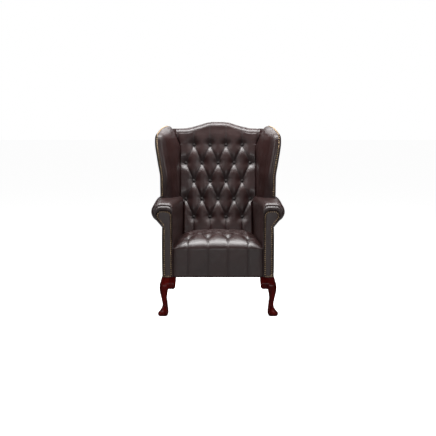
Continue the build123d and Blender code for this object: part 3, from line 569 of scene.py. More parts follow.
def folds_at(distance, turn, seed):
    """Small folds that run out from a button."""
    fade = smooth(6, 14, distance) * (1 - smooth(20, 46, distance))
    return fade * math.sin(7 * turn + seed) * 0.8


def back_marks():
    """The places of the back's buttons."""
    sizes = bpy.context.scene.chair_sizes
    return button_marks(BACK_ROWS, sizes.back_column, BACK_FIRST, sizes.back_row, (4, 5))


def seat_marks():
    """The places of the seat's buttons."""
    sizes = bpy.context.scene.chair_sizes
    return button_marks(SEAT_ROWS, sizes.seat_column, SEAT_FIRST, sizes.seat_row, (4, 3))


# The back
# Shares of the leather's length: where its face ends, and then, of the rest, where it has turned over the
# crest's front, crossed the crest and turned down behind
BACK_FACE = 0.74
CREST_TURNED = 0.3
CREST_CROSSED = 0.66
REAR_TURNED = 0.86

# Half widths of the leather at those places, with the arms and the wings that it meets
ARM_GAP = 1.0
WING_LAP = 6.0
CREST_SPREAD = 34.0
CREST_HALVES = (262, 266)
CREST_FAR_HALF = 290
REAR_HALF = 296

# Heights up the slope: the start under the seat, the arms' tops, and where the crest swells and spreads
BACK_START = -64
ABOVE_ARMS = (146, 172)
CREST_SPREADS = (485, 590)
CREST_SWELLS = (501, 590)
TUFTS_FADE = (510, 596)

# The crest: its rolls in front and behind, how proud it stands, and what the leather laps over behind
CREST_SUNK = 7
CREST_ROLL = 30.0
CREST_PROUD = 12
REAR_ROLL = 22.0
REAR_LAP = 34
EDGE_TUCK = 14
EDGE_WIDTH = 13


def back_reach(v):
    """Half the width of the back leather: between the arms, between the wings, and wider at the crest."""
    between_arms = arm_inner(back_depth(0, SEAT_TOP + v * math.cos(RAKE))) - ARM_GAP
    between_wings = BACK_HALF + WING_LAP + CREST_SPREAD * smooth(*CREST_SPREADS, v)
    return mix(between_arms, between_wings, smooth(*ABOVE_ARMS, v))


def crest_course(top, go):
    """The leather's run over the crest and down behind: its half width, its point and its outward way."""
    front = CREST_PROUD - CREST_ROLL
    if go < CREST_TURNED:
        share = go / CREST_TURNED
        turn = share * math.pi / 2
        point = (top - CREST_ROLL * (1 - math.sin(turn)), front + CREST_ROLL * math.cos(turn))
        return mix(*CREST_HALVES, share), point, (math.sin(turn), math.cos(turn))
    if go < CREST_CROSSED:
        share = (go - CREST_TURNED) / (CREST_CROSSED - CREST_TURNED)
        w = mix(front, BACK_FAR + REAR_ROLL, share)
        half = mix(CREST_HALVES[1], CREST_FAR_HALF, smooth(0.2, 1, share))
        return half, (top + (front - w) * math.tan(RAKE), w), (1.0, 0.0)
    rear_top = top + (front - BACK_FAR - REAR_ROLL) * math.tan(RAKE) - REAR_ROLL
    if go < REAR_TURNED:
        share = (go - CREST_CROSSED) / (REAR_TURNED - CREST_CROSSED)
        turn = share * math.pi / 2
        point = (rear_top + REAR_ROLL * math.cos(turn), BACK_FAR + REAR_ROLL * (1 - math.sin(turn)))
        return mix(CREST_FAR_HALF, REAR_HALF, share), point, (math.cos(turn), -math.sin(turn))
    share = (go - REAR_TURNED) / (1 - REAR_TURNED)
    return REAR_HALF, (rear_top - REAR_LAP * share, BACK_FAR), (0.0, -1.0)


def back_place(s, t):
    """A point of the deep-buttoned back, from under the seat up over the crest and down behind."""
    sizes = bpy.context.scene.chair_sizes
    side = 2 * s - 1
    top = CREST_TOP - CREST_SUNK - crest_fall(side * CREST_HALVES[0])
    if t < BACK_FACE:
        v = mix(BACK_START, top - CREST_ROLL, t / BACK_FACE)
        half = back_reach(v)
        point, way = (v, CREST_PROUD * smooth(*CREST_SWELLS, v)), (0.0, 1.0)
        fade = 1.0
    else:
        go = (t - BACK_FACE) / (1 - BACK_FACE)
        v = top
        half, point, way = crest_course(top, go)
        fade = 1 - smooth(0.45, 0.95, go)
    u = side * half
    a = u / (sizes.back_column / 2)
    b = (v - BACK_FIRST) / sizes.back_row
    share = tuft_share(a, b, BACK_ROWS)
    if abs(a) > 4 and 0 < b < BACK_ROWS:
        share = abs(b - 2 * round(b / 2))
    distance, turn = nearest(back_marks(), u, v)
    over = past_rows(b, BACK_ROWS)
    rise = sizes.back_rise * (1 - 0.7 * smooth(*TUFTS_FADE, v)) * fade
    height = rise * tuft_height(share, distance, over, BACK_PIT) + folds_at(distance, turn, u) * fade
    height *= 1 + uneven(0.05, round(a), round(b), 3.1)
    height += uneven(0.5, u * 0.05, v * 0.05, 1.7)
    edge = (1 - abs(side)) * BACK_HALF
    height -= EDGE_TUCK * (1 - min(1, edge / EDGE_WIDTH)) ** 2 * (1 - smooth(0, 0.3, t - BACK_FACE))
    # The second value is painted shade in the pleats and round the buttons.
    line = pleat_shade(share, over, distance, BACK_LINE, fade)
    return on_back(u, point[0] + way[0] * height, point[1] + way[1] * height), line


# The seat
# Shares of the leather's length where the front border ends and where its roll ends
SEAT_BORDER = 0.26
SEAT_ROLLED = 0.6

# The border and its roll, and where the leather ends under the back
FRONT_SUNK = 8
BORDER_RISE = 8.0
BORDER_BELLY = 8
ROLL_RUN = 162.0
SEAT_REAR = 190
SEAT_LAP = 1.5
ROLL_HALF = 250
BORDER_TUCK = 6
TUCK_WIDTH = 30
HEM_TUCK = 3.0
NO_BUTTON = 99.0

# The crown: how far the seat lies below its middle against the distance from the arm, and towards the rear
SEAT_CROWN = [(0, 62), (9, 50), (24, 33), (46, 19), (73, 10), (114, 4), (145, 1), (200, -2), (260, -3)]
CROWN_DEPTH = 82
REAR_CROWN = 0.55
REAR_FALL = 10


def seat_fall(x, y):
    """How far the crowned seat lies below its middle, towards the arms and the back."""
    sides = read_off(SEAT_CROWN, max(0.0, arm_inner(y) - abs(x)))
    return sides * mix(1.0, REAR_CROWN, smooth(-120, 120, y)) + REAR_FALL * smooth(-60, 150, y)


def seat_level(x, y, z):
    """The height of a point of the seat once the crown falls away to the arms."""
    return SHOULDER + (z - SHOULDER) * (1 - seat_fall(x, y) / CROWN_DEPTH)


def seat_course(t, full_rise):
    """The leather's run from front to rear: its depth, its height, its outward way and its tufts' rise."""
    front = BODY_FRONT + FRONT_SUNK
    lift = SEAT_VALLEY - SHOULDER
    if t < SEAT_BORDER:
        return front, mix(HEM, SHOULDER, t / SEAT_BORDER), (-1.0, 0.0), BORDER_RISE
    if t < SEAT_ROLLED:
        turn = (t - SEAT_BORDER) / (SEAT_ROLLED - SEAT_BORDER) * math.pi / 2
        way = Vector((-math.cos(turn) * lift, math.sin(turn) * ROLL_RUN)).normalized()
        rise = mix(BORDER_RISE, full_rise, smooth(0.1, 1.25, turn))
        return front + ROLL_RUN * (1 - math.cos(turn)), SHOULDER + lift * math.sin(turn), way, rise
    share = (t - SEAT_ROLLED) / (1 - SEAT_ROLLED)
    return mix(front + ROLL_RUN, SEAT_REAR, share), SEAT_VALLEY, (0.0, 1.0), full_rise


def seat_place(s, t):
    """A point of the seat leather, from the lower front edge up over the roll and back under the back."""
    sizes = bpy.context.scene.chair_sizes
    side = 2 * s - 1
    y, z, way, rise = seat_course(t, sizes.seat_rise)
    u = side * (arm_inner(y) + SEAT_LAP)
    a = u / (sizes.seat_column / 2)
    b = (y - SEAT_FIRST) / sizes.seat_row
    share = tuft_share(a, b, SEAT_ROWS)
    distance, turn = nearest(seat_marks(), u, y)
    if t < SEAT_BORDER:
        distance = NO_BUTTON
    over = past_rows(b, SEAT_ROWS)
    forward = max(0.0, -way[0])
    belly = BORDER_BELLY * (1 - side * side) * math.sin(math.pi * min(1, 0.12 + 0.88 * t / SEAT_ROLLED))
    height = rise * tuft_height(share, distance, over, SEAT_PIT) + belly * forward
    height += folds_at(distance, turn, u) + uneven(0.6, u * 0.03, y * 0.03, z * 0.03)
    edge = (1 - abs(side)) * ROLL_HALF
    tuck = BORDER_TUCK * (1 - min(1, edge / TUCK_WIDTH)) ** 3 * forward + HEM_TUCK * (1 - smooth(0, 0.02, t))
    top = z + way[1] * height
    if t > SEAT_BORDER:
        top = seat_level(u, y, top)
    # The second value is painted shade in the pleats and round the buttons.
    return (u, y + way[0] * (height - tuck), top), pleat_shade(share, over, distance, SEAT_LINE)


# Arms
# Points along an arm's outline: inner face, inner corner, top, scroll, neck and outer side
ARM_PARTS = (20, 9, 7, 30, 8, 14)
ARM_COLUMNS = sum(ARM_PARTS)
ARM_CORNER = 34
SCROLL_SLOPE = math.radians(60)

# The front panel of the arm: its outline, its depth, how it swells, and the outline's point at the top
FACING_INNER = 262
FACING_TOP = 600
FACING_SCROLL_X = 322.0
FACING_SCROLL = 28
FACING_SIDE = 311
FACING_NECK = 515
FACING_Y = -383
FACING_MIDDLE = sum(ARM_PARTS[:2]) + 5
FACING_LAP = 0.6
FACING_SWELL = 5.0
FACING_SOFT = 15
FACING_SUNK = 3.0

# The padded arm: the scroll's radius and outermost place before the wing and behind it, and its side
SCROLL_SHRINKS = (196, 400)
SCROLL_RADII = (56, 30)
SCROLL_OUTERS = (380, 334)
ARM_SIDE = 315.5
ARM_NECK = 500

# The pleated ring round the front panel, as depths against the share of its width
RING_FORM = [(0.0, -381), (0.07, -387), (0.2, -391), (0.36, -390), (0.48, -385), (0.55, -380.5), (0.63, -380),
             (0.78, -375), (0.92, -363), (1.0, -345)]
RING_SHARE = 0.3
RING_REAR = -345
RING_WIDTHS = (20, 34)
RING_SEAM = 0.575
PLEAT_PITCH = 13
PUFF_PLEATS = 2.6
FAN_PLEATS = 1.4

# Where the arm's leather ends: low inside and outside, in the back's padding, and the cap at the rear
ARM_LOW_INSIDE = 335
ARM_LOW_OUTSIDE = 494
IN_THE_BACK = -6.0
CAP_FROM = 0.987
CAP_X = 312

# Where the roll's slow swelling turns from inwards to outwards, and where it also lifts the top
INNER_SIDE = 290
TOP_FROM = 24
TOP_ABOVE = 560


def straight(start, end, count):
    """Evenly spaced points from a start towards an end, without the end."""
    return [(mix(start[0], end[0], k / count), mix(start[1], end[1], k / count)) for k in range(count)]


def arc(centre, radius, start, end, count):
    """Evenly spaced points round a centre from one angle towards another, without the last."""
    turns = [mix(start, end, k / count) for k in range(count)]
    return [(centre[0] + radius * math.cos(turn), centre[1] + radius * math.sin(turn)) for turn in turns]


def arm_section(inner, top, corner, centre_x, radius, side, neck, low_in, low_out):
    """Points of an arm's outline: up its inner face, over the top, round the scroll and down outside."""
    face, turn, flat, scroll, under, outside = ARM_PARTS
    centre = (centre_x, top - radius)
    end = (centre_x + radius * math.cos(SCROLL_SLOPE), centre[1] - radius * math.sin(SCROLL_SLOPE))
    return (straight((inner, low_in), (inner, top - corner), face)
            + arc((inner + corner, top - corner), corner, math.pi, math.pi / 2, turn)
            + straight((inner + corner, top), (centre_x, top), flat)
            + arc(centre, radius, math.pi / 2, -SCROLL_SLOPE, scroll)
            + straight(end, (side, neck), under)
            + straight((side, neck), (side, low_out), outside)
            + [(side, low_out)])


def facing_section(inset=0.0):
    """The outline of the front panel of the arm."""
    return arm_section(FACING_INNER + inset, FACING_TOP - inset, ARM_CORNER - inset, FACING_SCROLL_X,
                       FACING_SCROLL - inset, FACING_SIDE - inset, FACING_NECK, HEM, HEM)


def scroll_section(y, low_in, low_out):
    """The outline of the padded arm at a depth, its scroll smaller behind the wing."""
    share = smooth(*SCROLL_SHRINKS, y)
    radius = mix(*SCROLL_RADII, share)
    centre_x = mix(*SCROLL_OUTERS, share) - radius
    return arm_section(arm_inner(y), ARM_TOP, ARM_CORNER, centre_x, radius, ARM_SIDE, ARM_NECK,
                       low_in, low_out)


def arm_place_maker():
    """Gives the place function of the arm leather, from the front panel over the ring to the arm's rear."""
    facing = facing_section()
    front = scroll_section(RING_REAR, HEM, HEM)
    lengths = [0.0]
    for a, b in zip(facing, facing[1:]):
        lengths.append(lengths[-1] + math.dist(a, b))
    sections = {}

    def section_at(y):
        if y not in sections:
            low = smooth(RING_REAR, RING_REAR + 15, y)
            sections[y] = scroll_section(y, mix(HEM, ARM_LOW_INSIDE, low), mix(HEM, ARM_LOW_OUTSIDE, low))
        return sections[y]

    def ring_place(index, share):
        near, far = facing[index], front[index]
        wide = math.dist(near, far)
        y = read_off(RING_FORM, share)
        if share < 0.6:
            y = FACING_Y + (y - FACING_Y) * min(1.0, max(0.3, wide / RING_WIDTHS[1]))
        pleat = abs(math.sin(lengths[index] * math.pi / PLEAT_PITCH + share * 0.6))
        full = smooth(*RING_WIDTHS, wide)
        puff = smooth(0.02, 0.2, share) * (1 - smooth(0.42, 0.58, share)) * full
        fan = smooth(0.6, 0.7, share) * (1 - smooth(0.8, 0.98, share)) * full
        y += (puff * PUFF_PLEATS + fan * FAN_PLEATS) * (1 - pleat ** 0.5)
        seam = 1 - abs(share - RING_SEAM) / 0.05 if wide > RING_WIDTHS[0] else 0.0
        # Painted shade along the ring's inner edge, in its seam and in its pleats.
        line = max(0.0, 1 - smooth(0.0, 0.04, share), seam, puff * (1 - pleat) ** 3)
        return (mix(near[0], far[0], share), y, mix(near[1], far[1], share)), line

    def roll_place(index, share):
        run = min(1.0, share / 0.98)
        x, z = front[index]
        for _ in range(2):
            rear = mix(back_depth(IN_THE_BACK, z), back_depth(BACK_FAR, z) - 1,
                       smooth(ARM_PARTS[0] + 2, ARM_PARTS[0] + 9, index))
            y = mix(RING_REAR, rear, run)
            x, z = section_at(round(y, 1))[index]
        swell = uneven(1.2, x * 0.02, y * 0.012, z * 0.02)
        if share > CAP_FROM:
            x = min(x, CAP_X)
        x += swell * 0.6 * (-1 if x < INNER_SIDE else 1)
        if index > TOP_FROM and z > TOP_ABOVE:
            z += swell
        return (x, y, z), 0.0

    def place(s, t):
        index = round(s * ARM_COLUMNS)
        if t <= RING_SHARE:
            return ring_place(index, t / RING_SHARE)
        return roll_place(index, (t - RING_SHARE) / (1 - RING_SHARE))

    return place


def facing_place(s, t):
    """A point of the padded panel inside the nails, from its foot to the top of the scroll."""
    outline = facing_section(-FACING_LAP)
    last = len(outline) - 1
    left = outline[round(t * FACING_MIDDLE)]
    right = outline[last - round(t * (last - FACING_MIDDLE))]
    x, z = mix(left[0], right[0], s), mix(left[1], right[1], s)
    edge = min(s, 1 - s) * math.dist(left, right)
    y = FACING_Y - FACING_SWELL * smooth(0, FACING_SOFT, edge) - uneven(0.5, x * 0.04, 0, z * 0.03)
    y += FACING_SUNK * smooth(0.96, 1.0, t)
    # Painted shade along the panel's edge, where it turns in by the nails.
    return (x, y, z), 0.6 * (1 - smooth(0, 4, edge))


# Wings
# The wing's edge from the arm up and over to the rear, as (depth, height), and its outer side by its height
WING_EDGE = Course([(-15, 645), (-23, 700), (-29, 740), (-32, 790), (-33, 834), (-33, 880), (-31, 925),
                    (-28, 960), (-23, 985), (-14, 1005), (1, 1020), (22, 1029), (48, 1034), (82, 1041),
                    (122, 1050), (165, 1056), (235, 1060), (310, 1062), (360, 1061), (404, 1056)])
WING_OUTER = [(640, 340), (740, 340), (780, 341), (807, 345), (841, 351), (875, 356.5), (909, 362.5),
              (940, 367.5), (970, 370.5), (1030, 371.5), (1080, 371)]
WING_ROOT = (307.5, 645.0)
WING_FRONT = -12.0
WING_WIDTH = 58
WING_DIP = 14
ROOT_SPREAD = 34
ROOT_OUT = 14
ROOT_SPREADS = (930, 1046)

# How far the wing's edge is rounded, inside and outside, and how far across its nose lies
NOSE_REACHES = (46.0, 20.0)
NOSE_SHARE = 0.6
LEAST_SLANT = 0.62
ABOVE_SCROLL = (645, 700)

# The folds gathered at the wing's tip: where along the edge, how widely, how many and how deep
TIP_AT = 0.5
TIP_SPREAD = 0.09
TIP_FOLDS = 90
FOLD_DEPTH = 2.2

# How far the leather and the outside panel run over the nose, where the nails meet them
PAD_TO = 0.34
PANEL_FROM = 0.26
PANEL_PROUD = 1.4
WING_SWELL = 3.0


def body_side(z):
    """Half the width of the body's outside at a height, which narrows above the arms."""
    return BODY_HALF - BODY_TAPER * (z - ARM_TOP) / TAPER_RISE


def wing_walls(y, z):
    """Where the wing's inner and outer sides lie."""
    outer = read_off(WING_OUTER, z)
    rear = back_depth(BACK_FAR, z)
    far = min(1.0, max(0.0, (y - WING_FRONT) / (rear - WING_FRONT)))
    outside = mix(outer, body_side(z), far ** 1.15)
    root_x = BACK_HALF + 1 + ROOT_SPREAD * smooth(*ROOT_SPREADS, z)
    root_y = back_depth(ROOT_OUT, z)
    near = min(1.0, max(0.0, (y - WING_FRONT) / (root_y - WING_FRONT)))
    dip = WING_DIP * math.sin(math.pi * near) * (1 - 0.4 * smooth(980, 1060, z))
    inside = mix(outer - WING_WIDTH, root_x, near) - dip
    if y > root_y:
        inside = root_x + (y - root_y) * 0.12 * smooth(990, 1046, z)
    return inside, outside


def wing_point(along, ring, proud=0.0):
    """A point of the wing: along its edge from arm to rear, and ring from its inner to its outer root."""
    edge = WING_EDGE.at(along)
    nearby = WING_EDGE.at(min(1, along + 0.01)) - WING_EDGE.at(max(0, along - 0.01))
    ray = edge - Vector(WING_ROOT)
    length = ray.length
    ray /= length
    outward = Vector((-nearby[1], nearby[0])).normalized()
    reach = NOSE_REACHES[0 if ring < 0 else 1] / max(LEAST_SLANT, abs(outward.dot(ray)))
    if abs(ring) <= 1:
        turn = (ring + 1) * math.pi / 2
        inward = reach * (1 - math.sin(turn))
    else:
        turn = 0.0 if ring < 0 else math.pi
        inward = mix(reach, length, abs(ring) - 1)
    y, z = edge - ray * inward
    inside, outside = wing_walls(y, z)
    nose = mix(inside, outside, NOSE_SHARE)
    half = proud + (nose - inside if ring < 0 else outside - nose)
    x = nose - half * math.cos(turn)
    if proud and abs(ring) <= 1:
        y += ray[0] * proud * math.sin(turn)
        z += ray[1] * proud * math.sin(turn)
    radius = SCROLL_RADII[0]
    past = x - (SCROLL_OUTERS[0] - radius)
    if past > 0:
        z -= (radius - math.sqrt(max(0, radius ** 2 - past ** 2))) * (1 - smooth(*ABOVE_SCROLL, z))
    return Vector((x, y, z))


def wing_place(s, t):
    """A point of the wing's padded leather, from its root over the edge to the nails."""
    ring = mix(-2, -1, s / 0.6) if s < 0.6 else mix(-1, PAD_TO, (s - 0.6) / 0.4)
    point = wing_point(t, ring)
    tip = math.exp(-((t - TIP_AT) / TIP_SPREAD) ** 2)
    gather = smooth(-1.1, -0.5, ring) * tip
    folds = abs(math.sin(t * TIP_FOLDS)) ** 0.5
    point.z += gather * (folds - 1) * FOLD_DEPTH
    soft = noise.noise(point * 0.016)
    if ring < -1:
        point.x -= soft * WING_SWELL * min(1, (abs(ring) - 1) * 6)
    # Painted shade in the folds at the tip and along the edge at the nails.
    return point, max(0.6 * gather * (1 - folds) ** 2, 1 - smooth(0, 0.03, 1 - s))


def wing_panel_place(s, t):
    """A point of the wing's outside leather, from the nails back to the rear."""
    ring = mix(PANEL_FROM, 1, s / 0.3) if s < 0.3 else mix(1, 2, (s - 0.3) / 0.7)
    point = wing_point(t, ring, PANEL_PROUD)
    swell = 0.0
    if ring > 1:
        swell = WING_SWELL * math.sin(math.pi * min(1, ring - 1))
        swell *= math.sin(math.pi * min(1, t * 1.02 + 0.02))
    point.x += swell + 0.6 * noise.noise(point * 0.01)
    # Painted shade along the edge at the nails.
    return point, 0.5 * (1 - smooth(0, 0.03, s))


# Panels
# The outside back: its lower edge behind the slope, its top edge, its half width and height, and its swell
PANEL_BEHIND = 114
PANEL_TOP_BEHIND = 72
PANEL_TOP_SUNK = 24
PANEL_CORNER_RISE = 42
PANEL_CORNERS = (262, 300)
PANEL_HALF = 300
PANEL_SIZE = (305, 800)
PANEL_SWELL = 4
PANEL_OUT = 2.6
BODY_LAP = 0.6

# The outside arm: its front and upper edges, with its length and height
ARM_PANEL_FRONT = -382
ARM_PANEL_TOP = 501
ARM_PANEL_SIZE = (640, 280)

# The lining: how far it lies inside the body, its rear edge, and the corners cut for the legs
LINING_INSET = 26
LINING_REAR = 168
LINING_CUT = 52
LINING_CUT_REAR = 128
LINING_SAG = 5


def back_panel_top(u):
    """How far up the slope the outside back reaches."""
    lift = PANEL_TOP_BEHIND * math.tan(RAKE) - PANEL_TOP_SUNK
    return CREST_TOP - CREST_SUNK - crest_fall(u) + lift + PANEL_CORNER_RISE * smooth(*PANEL_CORNERS, abs(u))


def back_panel_place(s, t):
    """A point of the outside back, from the rail to the crest; s runs to the right of the chair."""
    low = (UNDER - SEAT_TOP + PANEL_BEHIND * math.sin(RAKE)) / math.cos(RAKE)
    side = 1 - 2 * s
    v = mix(low, back_panel_top(side * PANEL_HALF), t)
    u = side * (body_side(max(ARM_TOP, SEAT_TOP + v * math.cos(RAKE))) + BODY_LAP)
    v = mix(low, back_panel_top(u), t)
    edge = min((1 - abs(side)) * PANEL_SIZE[0], (1 - t) * PANEL_SIZE[1], t * PANEL_SIZE[1] + 4)
    swell = PANEL_SWELL * smooth(4, 90, edge) + uneven(0.8, u * 0.008, v * 0.008, 5)
    # Painted shade along the panel's edges.
    return on_back(u, v, BACK_FAR - PANEL_OUT - swell), 0.5 * (1 - smooth(0, 4, edge))


def arm_panel_place(s, t):
    """A point of the outside arm, from front to rear and from the rail up to the roll."""
    z = mix(HEM, ARM_PANEL_TOP, t)
    y = mix(ARM_PANEL_FRONT, back_depth(BACK_FAR, z), s)
    ends = min(s, 1 - s) * ARM_PANEL_SIZE[0]
    edge = min(ends, min(t, 1 - t) * ARM_PANEL_SIZE[1] + 6)
    swell = 3.2 * smooth(0, 70, edge) + uneven(0.6, y * 0.01, z * 0.01, 2)
    # Painted shade along the panel's front and rear ends.
    return (BODY_HALF + swell, y, z), 0.5 * (1 - smooth(0, 4, ends))


def dust_place(s, t):
    """A point of the lining under the seat, which sags a little between its tacks."""
    half = BODY_HALF - LINING_INSET
    x = mix(-half, half, 1 - s)
    y = mix(BODY_FRONT + LINING_INSET, LINING_REAR, t)
    if abs(x) > BODY_HALF - LINING_CUT:
        y = min(max(y, BODY_FRONT + LINING_CUT), LINING_CUT_REAR)
    sag = LINING_SAG * math.sin(math.pi * s) * math.sin(math.pi * t)
    return (x, y, UNDER - 0.4 - sag + uneven(0.5, x * 0.02, y * 0.02, 0)), 0.0


# Legs
# Heights up the leg as shares of it, and there the shares of its reach outwards, of its reach inwards and
# of how round it is
LEG_LEVELS = [1.0, 0.9, 0.78, 0.645, 0.51, 0.375, 0.285, 0.215, 0.155, 0.085, 0.03, 0.0]
LEG_OUTER = [0.09, 0.36, 0.66, 0.6, 0.32, 0.0, -0.11, 0.05, 0.4, 0.98, 1.0, 0.86]
LEG_INNER = [1.0, 0.92, 0.8, 0.62, 0.52, 0.58, 0.62, 0.66, 0.68, 0.68, 0.6, 0.54]
LEG_ROUND = [0.2, 0.3, 0.42, 0.5, 0.6, 0.74, 0.86, 0.92, 0.94, 0.94, 0.94, 0.94]
LEG_REACH_OUT = 22
LEG_REACH_IN = 50
SQUARE_POWER = 7.0
ROUND_POWER = 2.0

# Shares of the leg's mesh that close its sole and its top
SOLE_SHARE = 0.06
TOP_SHARE = 0.04

# How much smaller the sole is, and how high up the leg its rounding ends
SOLE_INSET = 0.07
SOLE_ROUNDING = 0.02

# The knee block: its lowest place, its inner edge, its scroll and how far its face stands out by its height
KNEE_LOW = 153.0
KNEE_INNER = 238
KNEE_SCROLL = 14
KNEE_CURVE = 4
KNEE_LAP = 14
KNEE_UNDERCUT = 5
KNEE_DEPTH = 20
KNEE_ROUNDING = 2
KNEE_FACE = [(0.0, 2), (0.25, 11), (0.45, 13.5), (0.7, 9), (1.0, 2)]


def leg_size(values, level):
    """One of the leg's sizes at a height."""
    return read_off(sorted(zip(LEG_LEVELS, values)), level)


def leg_place(s, t):
    """A point of a cabriole leg: s turns round it, t climbs it and closes both ends."""
    shrink = min(1.0, t / SOLE_SHARE, (1 - t) / TOP_SHARE)
    level = min(1.0, max(0.0, (t - SOLE_SHARE) / (1 - SOLE_SHARE - TOP_SHARE)))
    outer = leg_size(LEG_OUTER, level) * LEG_REACH_OUT
    inner = leg_size(LEG_INNER, level) * LEG_REACH_IN
    soft = leg_size(LEG_ROUND, level)
    power = mix(SQUARE_POWER, ROUND_POWER, soft ** 0.7)
    c, d = math.cos(s * math.tau), math.sin(s * math.tau)
    size = (outer + inner) / 2 / (abs(c) ** power + abs(d) ** power) ** (1 / power) * mix(1.0, 1.06, soft)
    size *= shrink * (1 - SOLE_INSET * (1 - smooth(0.0, SOLE_ROUNDING, level)))
    off = (outer - inner) / 2
    return (BODY_HALF + off + size * c, BODY_FRONT - off + size * d, level * UNDER), 0.0


def knee_place(s, t):
    """A point of a knee block's carved face, from its inner curve to the leg."""
    inner = KNEE_INNER + KNEE_SCROLL * (1 - t) ** 6 + KNEE_CURVE * math.sin(math.pi * t) ** 2 * (1 - t)
    x = mix(inner, BODY_HALF - KNEE_LAP, s)
    fall = 1 - smooth(0.0, 0.2, s)
    foot = 1 - smooth(0, 0.16, t)
    y = BODY_FRONT - read_off(KNEE_FACE, t) * (1 - 0.5 * fall ** 2) + KNEE_UNDERCUT * foot ** 2 + 1
    return (x, y, mix(KNEE_LOW, UNDER, t)), 0.0


# Repeated pieces
# Where the nails lie: inside the front panel's outline and at its foot, round the wing's nose, and behind
NAIL_INSET = 5.5
NAIL_Y = -386.6
NAIL_GAP = 2.5
HEM_NAIL = UNDER + 5
HEM_NAILS = 4
WING_NAIL_RING = 0.3
WING_NAIL_OUT = 1.6
WING_NAIL_STEPS = 90
WING_NAIL_FIRST = 2
SIDE_NAILS = 0.972
CREST_NAILS = 0.992
REAR_NAIL_OUT = 0.3

# The buttons' and the nails' heads, and the painted shade that darkens the buttons as if sunk in their
# shadowed pits
BUTTON_HEIGHT = 5.5
BUTTON_OUT = 0.6
BUTTON_SHADE = 0.75
NAIL_HEIGHT = 3.2


def dome(name, radius, height, segments, rings, crease_shade=0.0):
    """A shallow dome that faces up, cut from a sphere, with one crease value all over, which the leather
    shows as painted shade.
    """
    bpy.ops.object.select_all(action="DESELECT")
    bpy.ops.mesh.primitive_uv_sphere_add(segments=segments, ring_count=rings, radius=radius * MM)
    piece = bpy.context.object
    piece.name = piece.data.name = name
    bpy.ops.object.mode_set(mode="EDIT")
    bpy.ops.mesh.select_all(action="SELECT")
    bpy.ops.mesh.bisect(plane_co=(0, 0, 0), plane_no=(0, 0, 1), clear_inner=True, use_fill=True)
    bpy.ops.mesh.select_all(action="SELECT")
    bpy.ops.transform.resize(value=(1, 1, height / radius), center_override=(0, 0, 0))
    bpy.ops.object.mode_set(mode="OBJECT")
    depth = piece.data.attributes.new("crease_shade", "FLOAT", "POINT")
    depth.data.foreach_set("value", [crease_shade] * len(piece.data.vertices))
    return piece


def scattered(model, name, places):
    """Copies of a model at each (point, outward way), joined as one piece."""
    copies = []
    for point, way in places:
        copy = copied(model, name)
        turn = Vector(way).to_track_quat("Z", "Y").to_matrix().to_4x4()
        copy.data.transform(Matrix.Translation(Vector(point) * MM) @ turn)
        copies.append(copy)
    bpy.ops.object.select_all(action="DESELECT")
    for copy in copies:
        copy.select_set(True)
    bpy.context.view_layer.objects.active = copies[0]
    bpy.ops.object.join()
    piece = bpy.context.object
    piece.name = piece.data.name = name
    return piece


def spaced(points, pitch):
    """Places at an even pitch along a run of points."""
    course = Course(points)
    count = max(1, round(course.length / pitch))
    return [course.at(index / count) for index in range(count + 1)]


def facing_nails():
    """The nails round an arm's front panel."""
    outline = facing_section(NAIL_INSET)
    left = outline[0][0] + 3
    right = outline[-1][0] + 1
    course = [(left, HEM_NAIL)]
    for point in outline[1:-1] + [(right, HEM_NAIL)]:
        if math.dist(course[-1], point) > NAIL_GAP:
            course.append(point)
    spots = spaced(course, bpy.context.scene.chair_sizes.nail_pitch)
    spots += straight((left, HEM_NAIL), (right, HEM_NAIL), HEM_NAILS)[1:]
    return [((x, NAIL_Y, z), (0, -1, 0)) for x, z in spots]


def wing_nails():
    """The nails along a wing's edge, from the arm up and over to the rear."""
    first, last = WING_NAIL_FIRST, WING_NAIL_STEPS
    course = Course([wing_point(k / last, WING_NAIL_RING, WING_NAIL_OUT) for k in range(first, last + 1)])
    count = round(course.length / bpy.context.scene.chair_sizes.nail_pitch)
    places = []
    for index in range(count + 1):
        here = course.at(index / count)
        middle = wing_point(mix(first / last, 1, index / count), -0.2, -24)
        way = (here - Vector((mix(here.x, middle.x, 0.8), middle.y, middle.z))).normalized()
        places.append((here, way))
    return places


def rear_nails():
    """The nails along the crest and down both sides of the outside back."""
    pitch = bpy.context.scene.chair_sizes.nail_pitch
    way = -(on_back(0, 0, 1) - on_back(0, 0, 0))
    lines = []
    for side in (-1, 1):
        lines.append([back_panel_place(0.5 - side * 0.5 * SIDE_NAILS, k / 40) for k in range(1, 40)])
    lines.append([back_panel_place(mix(0.02, 0.98, k / 60), CREST_NAILS) for k in range(61)])
    places = []
    for line in lines:
        for point in spaced([p for p, _ in line], pitch):
            places.append((point + way * REAR_NAIL_OUT, way))
    return places


# Sizes and colours
class ChairSizes(bpy.types.PropertyGroup):
    """Sizes of the chair's dressing, in millimetres."""

    back_rise: bpy.props.FloatProperty(
        name="Back tuft rise", description="Height of the back's tufts", default=22.0)
    back_column: bpy.props.FloatProperty(name="Back column", description="Button pitch across", default=97.0)
    back_row: bpy.props.FloatProperty(name="Back row", description="Button pitch up the back", default=110.0)
    seat_rise: bpy.props.FloatProperty(
        name="Seat tuft rise", description="Height of the seat's tufts", default=26.0)
    seat_column: bpy.props.FloatProperty(name="Seat column", description="Button pitch across", default=115.0)
    seat_row: bpy.props.FloatProperty(
        name="Seat row", description="Button pitch from front to rear", default=105.0)
    button_radius: bpy.props.FloatProperty(name="Button radius", description="Covered buttons", default=9.5)
    nail_radius: bpy.props.FloatProperty(name="Nail radius", description="Heads of the nails", default=4.1)
    nail_pitch: bpy.props.FloatProperty(name="Nail pitch", description="From nail to nail", default=11.3)


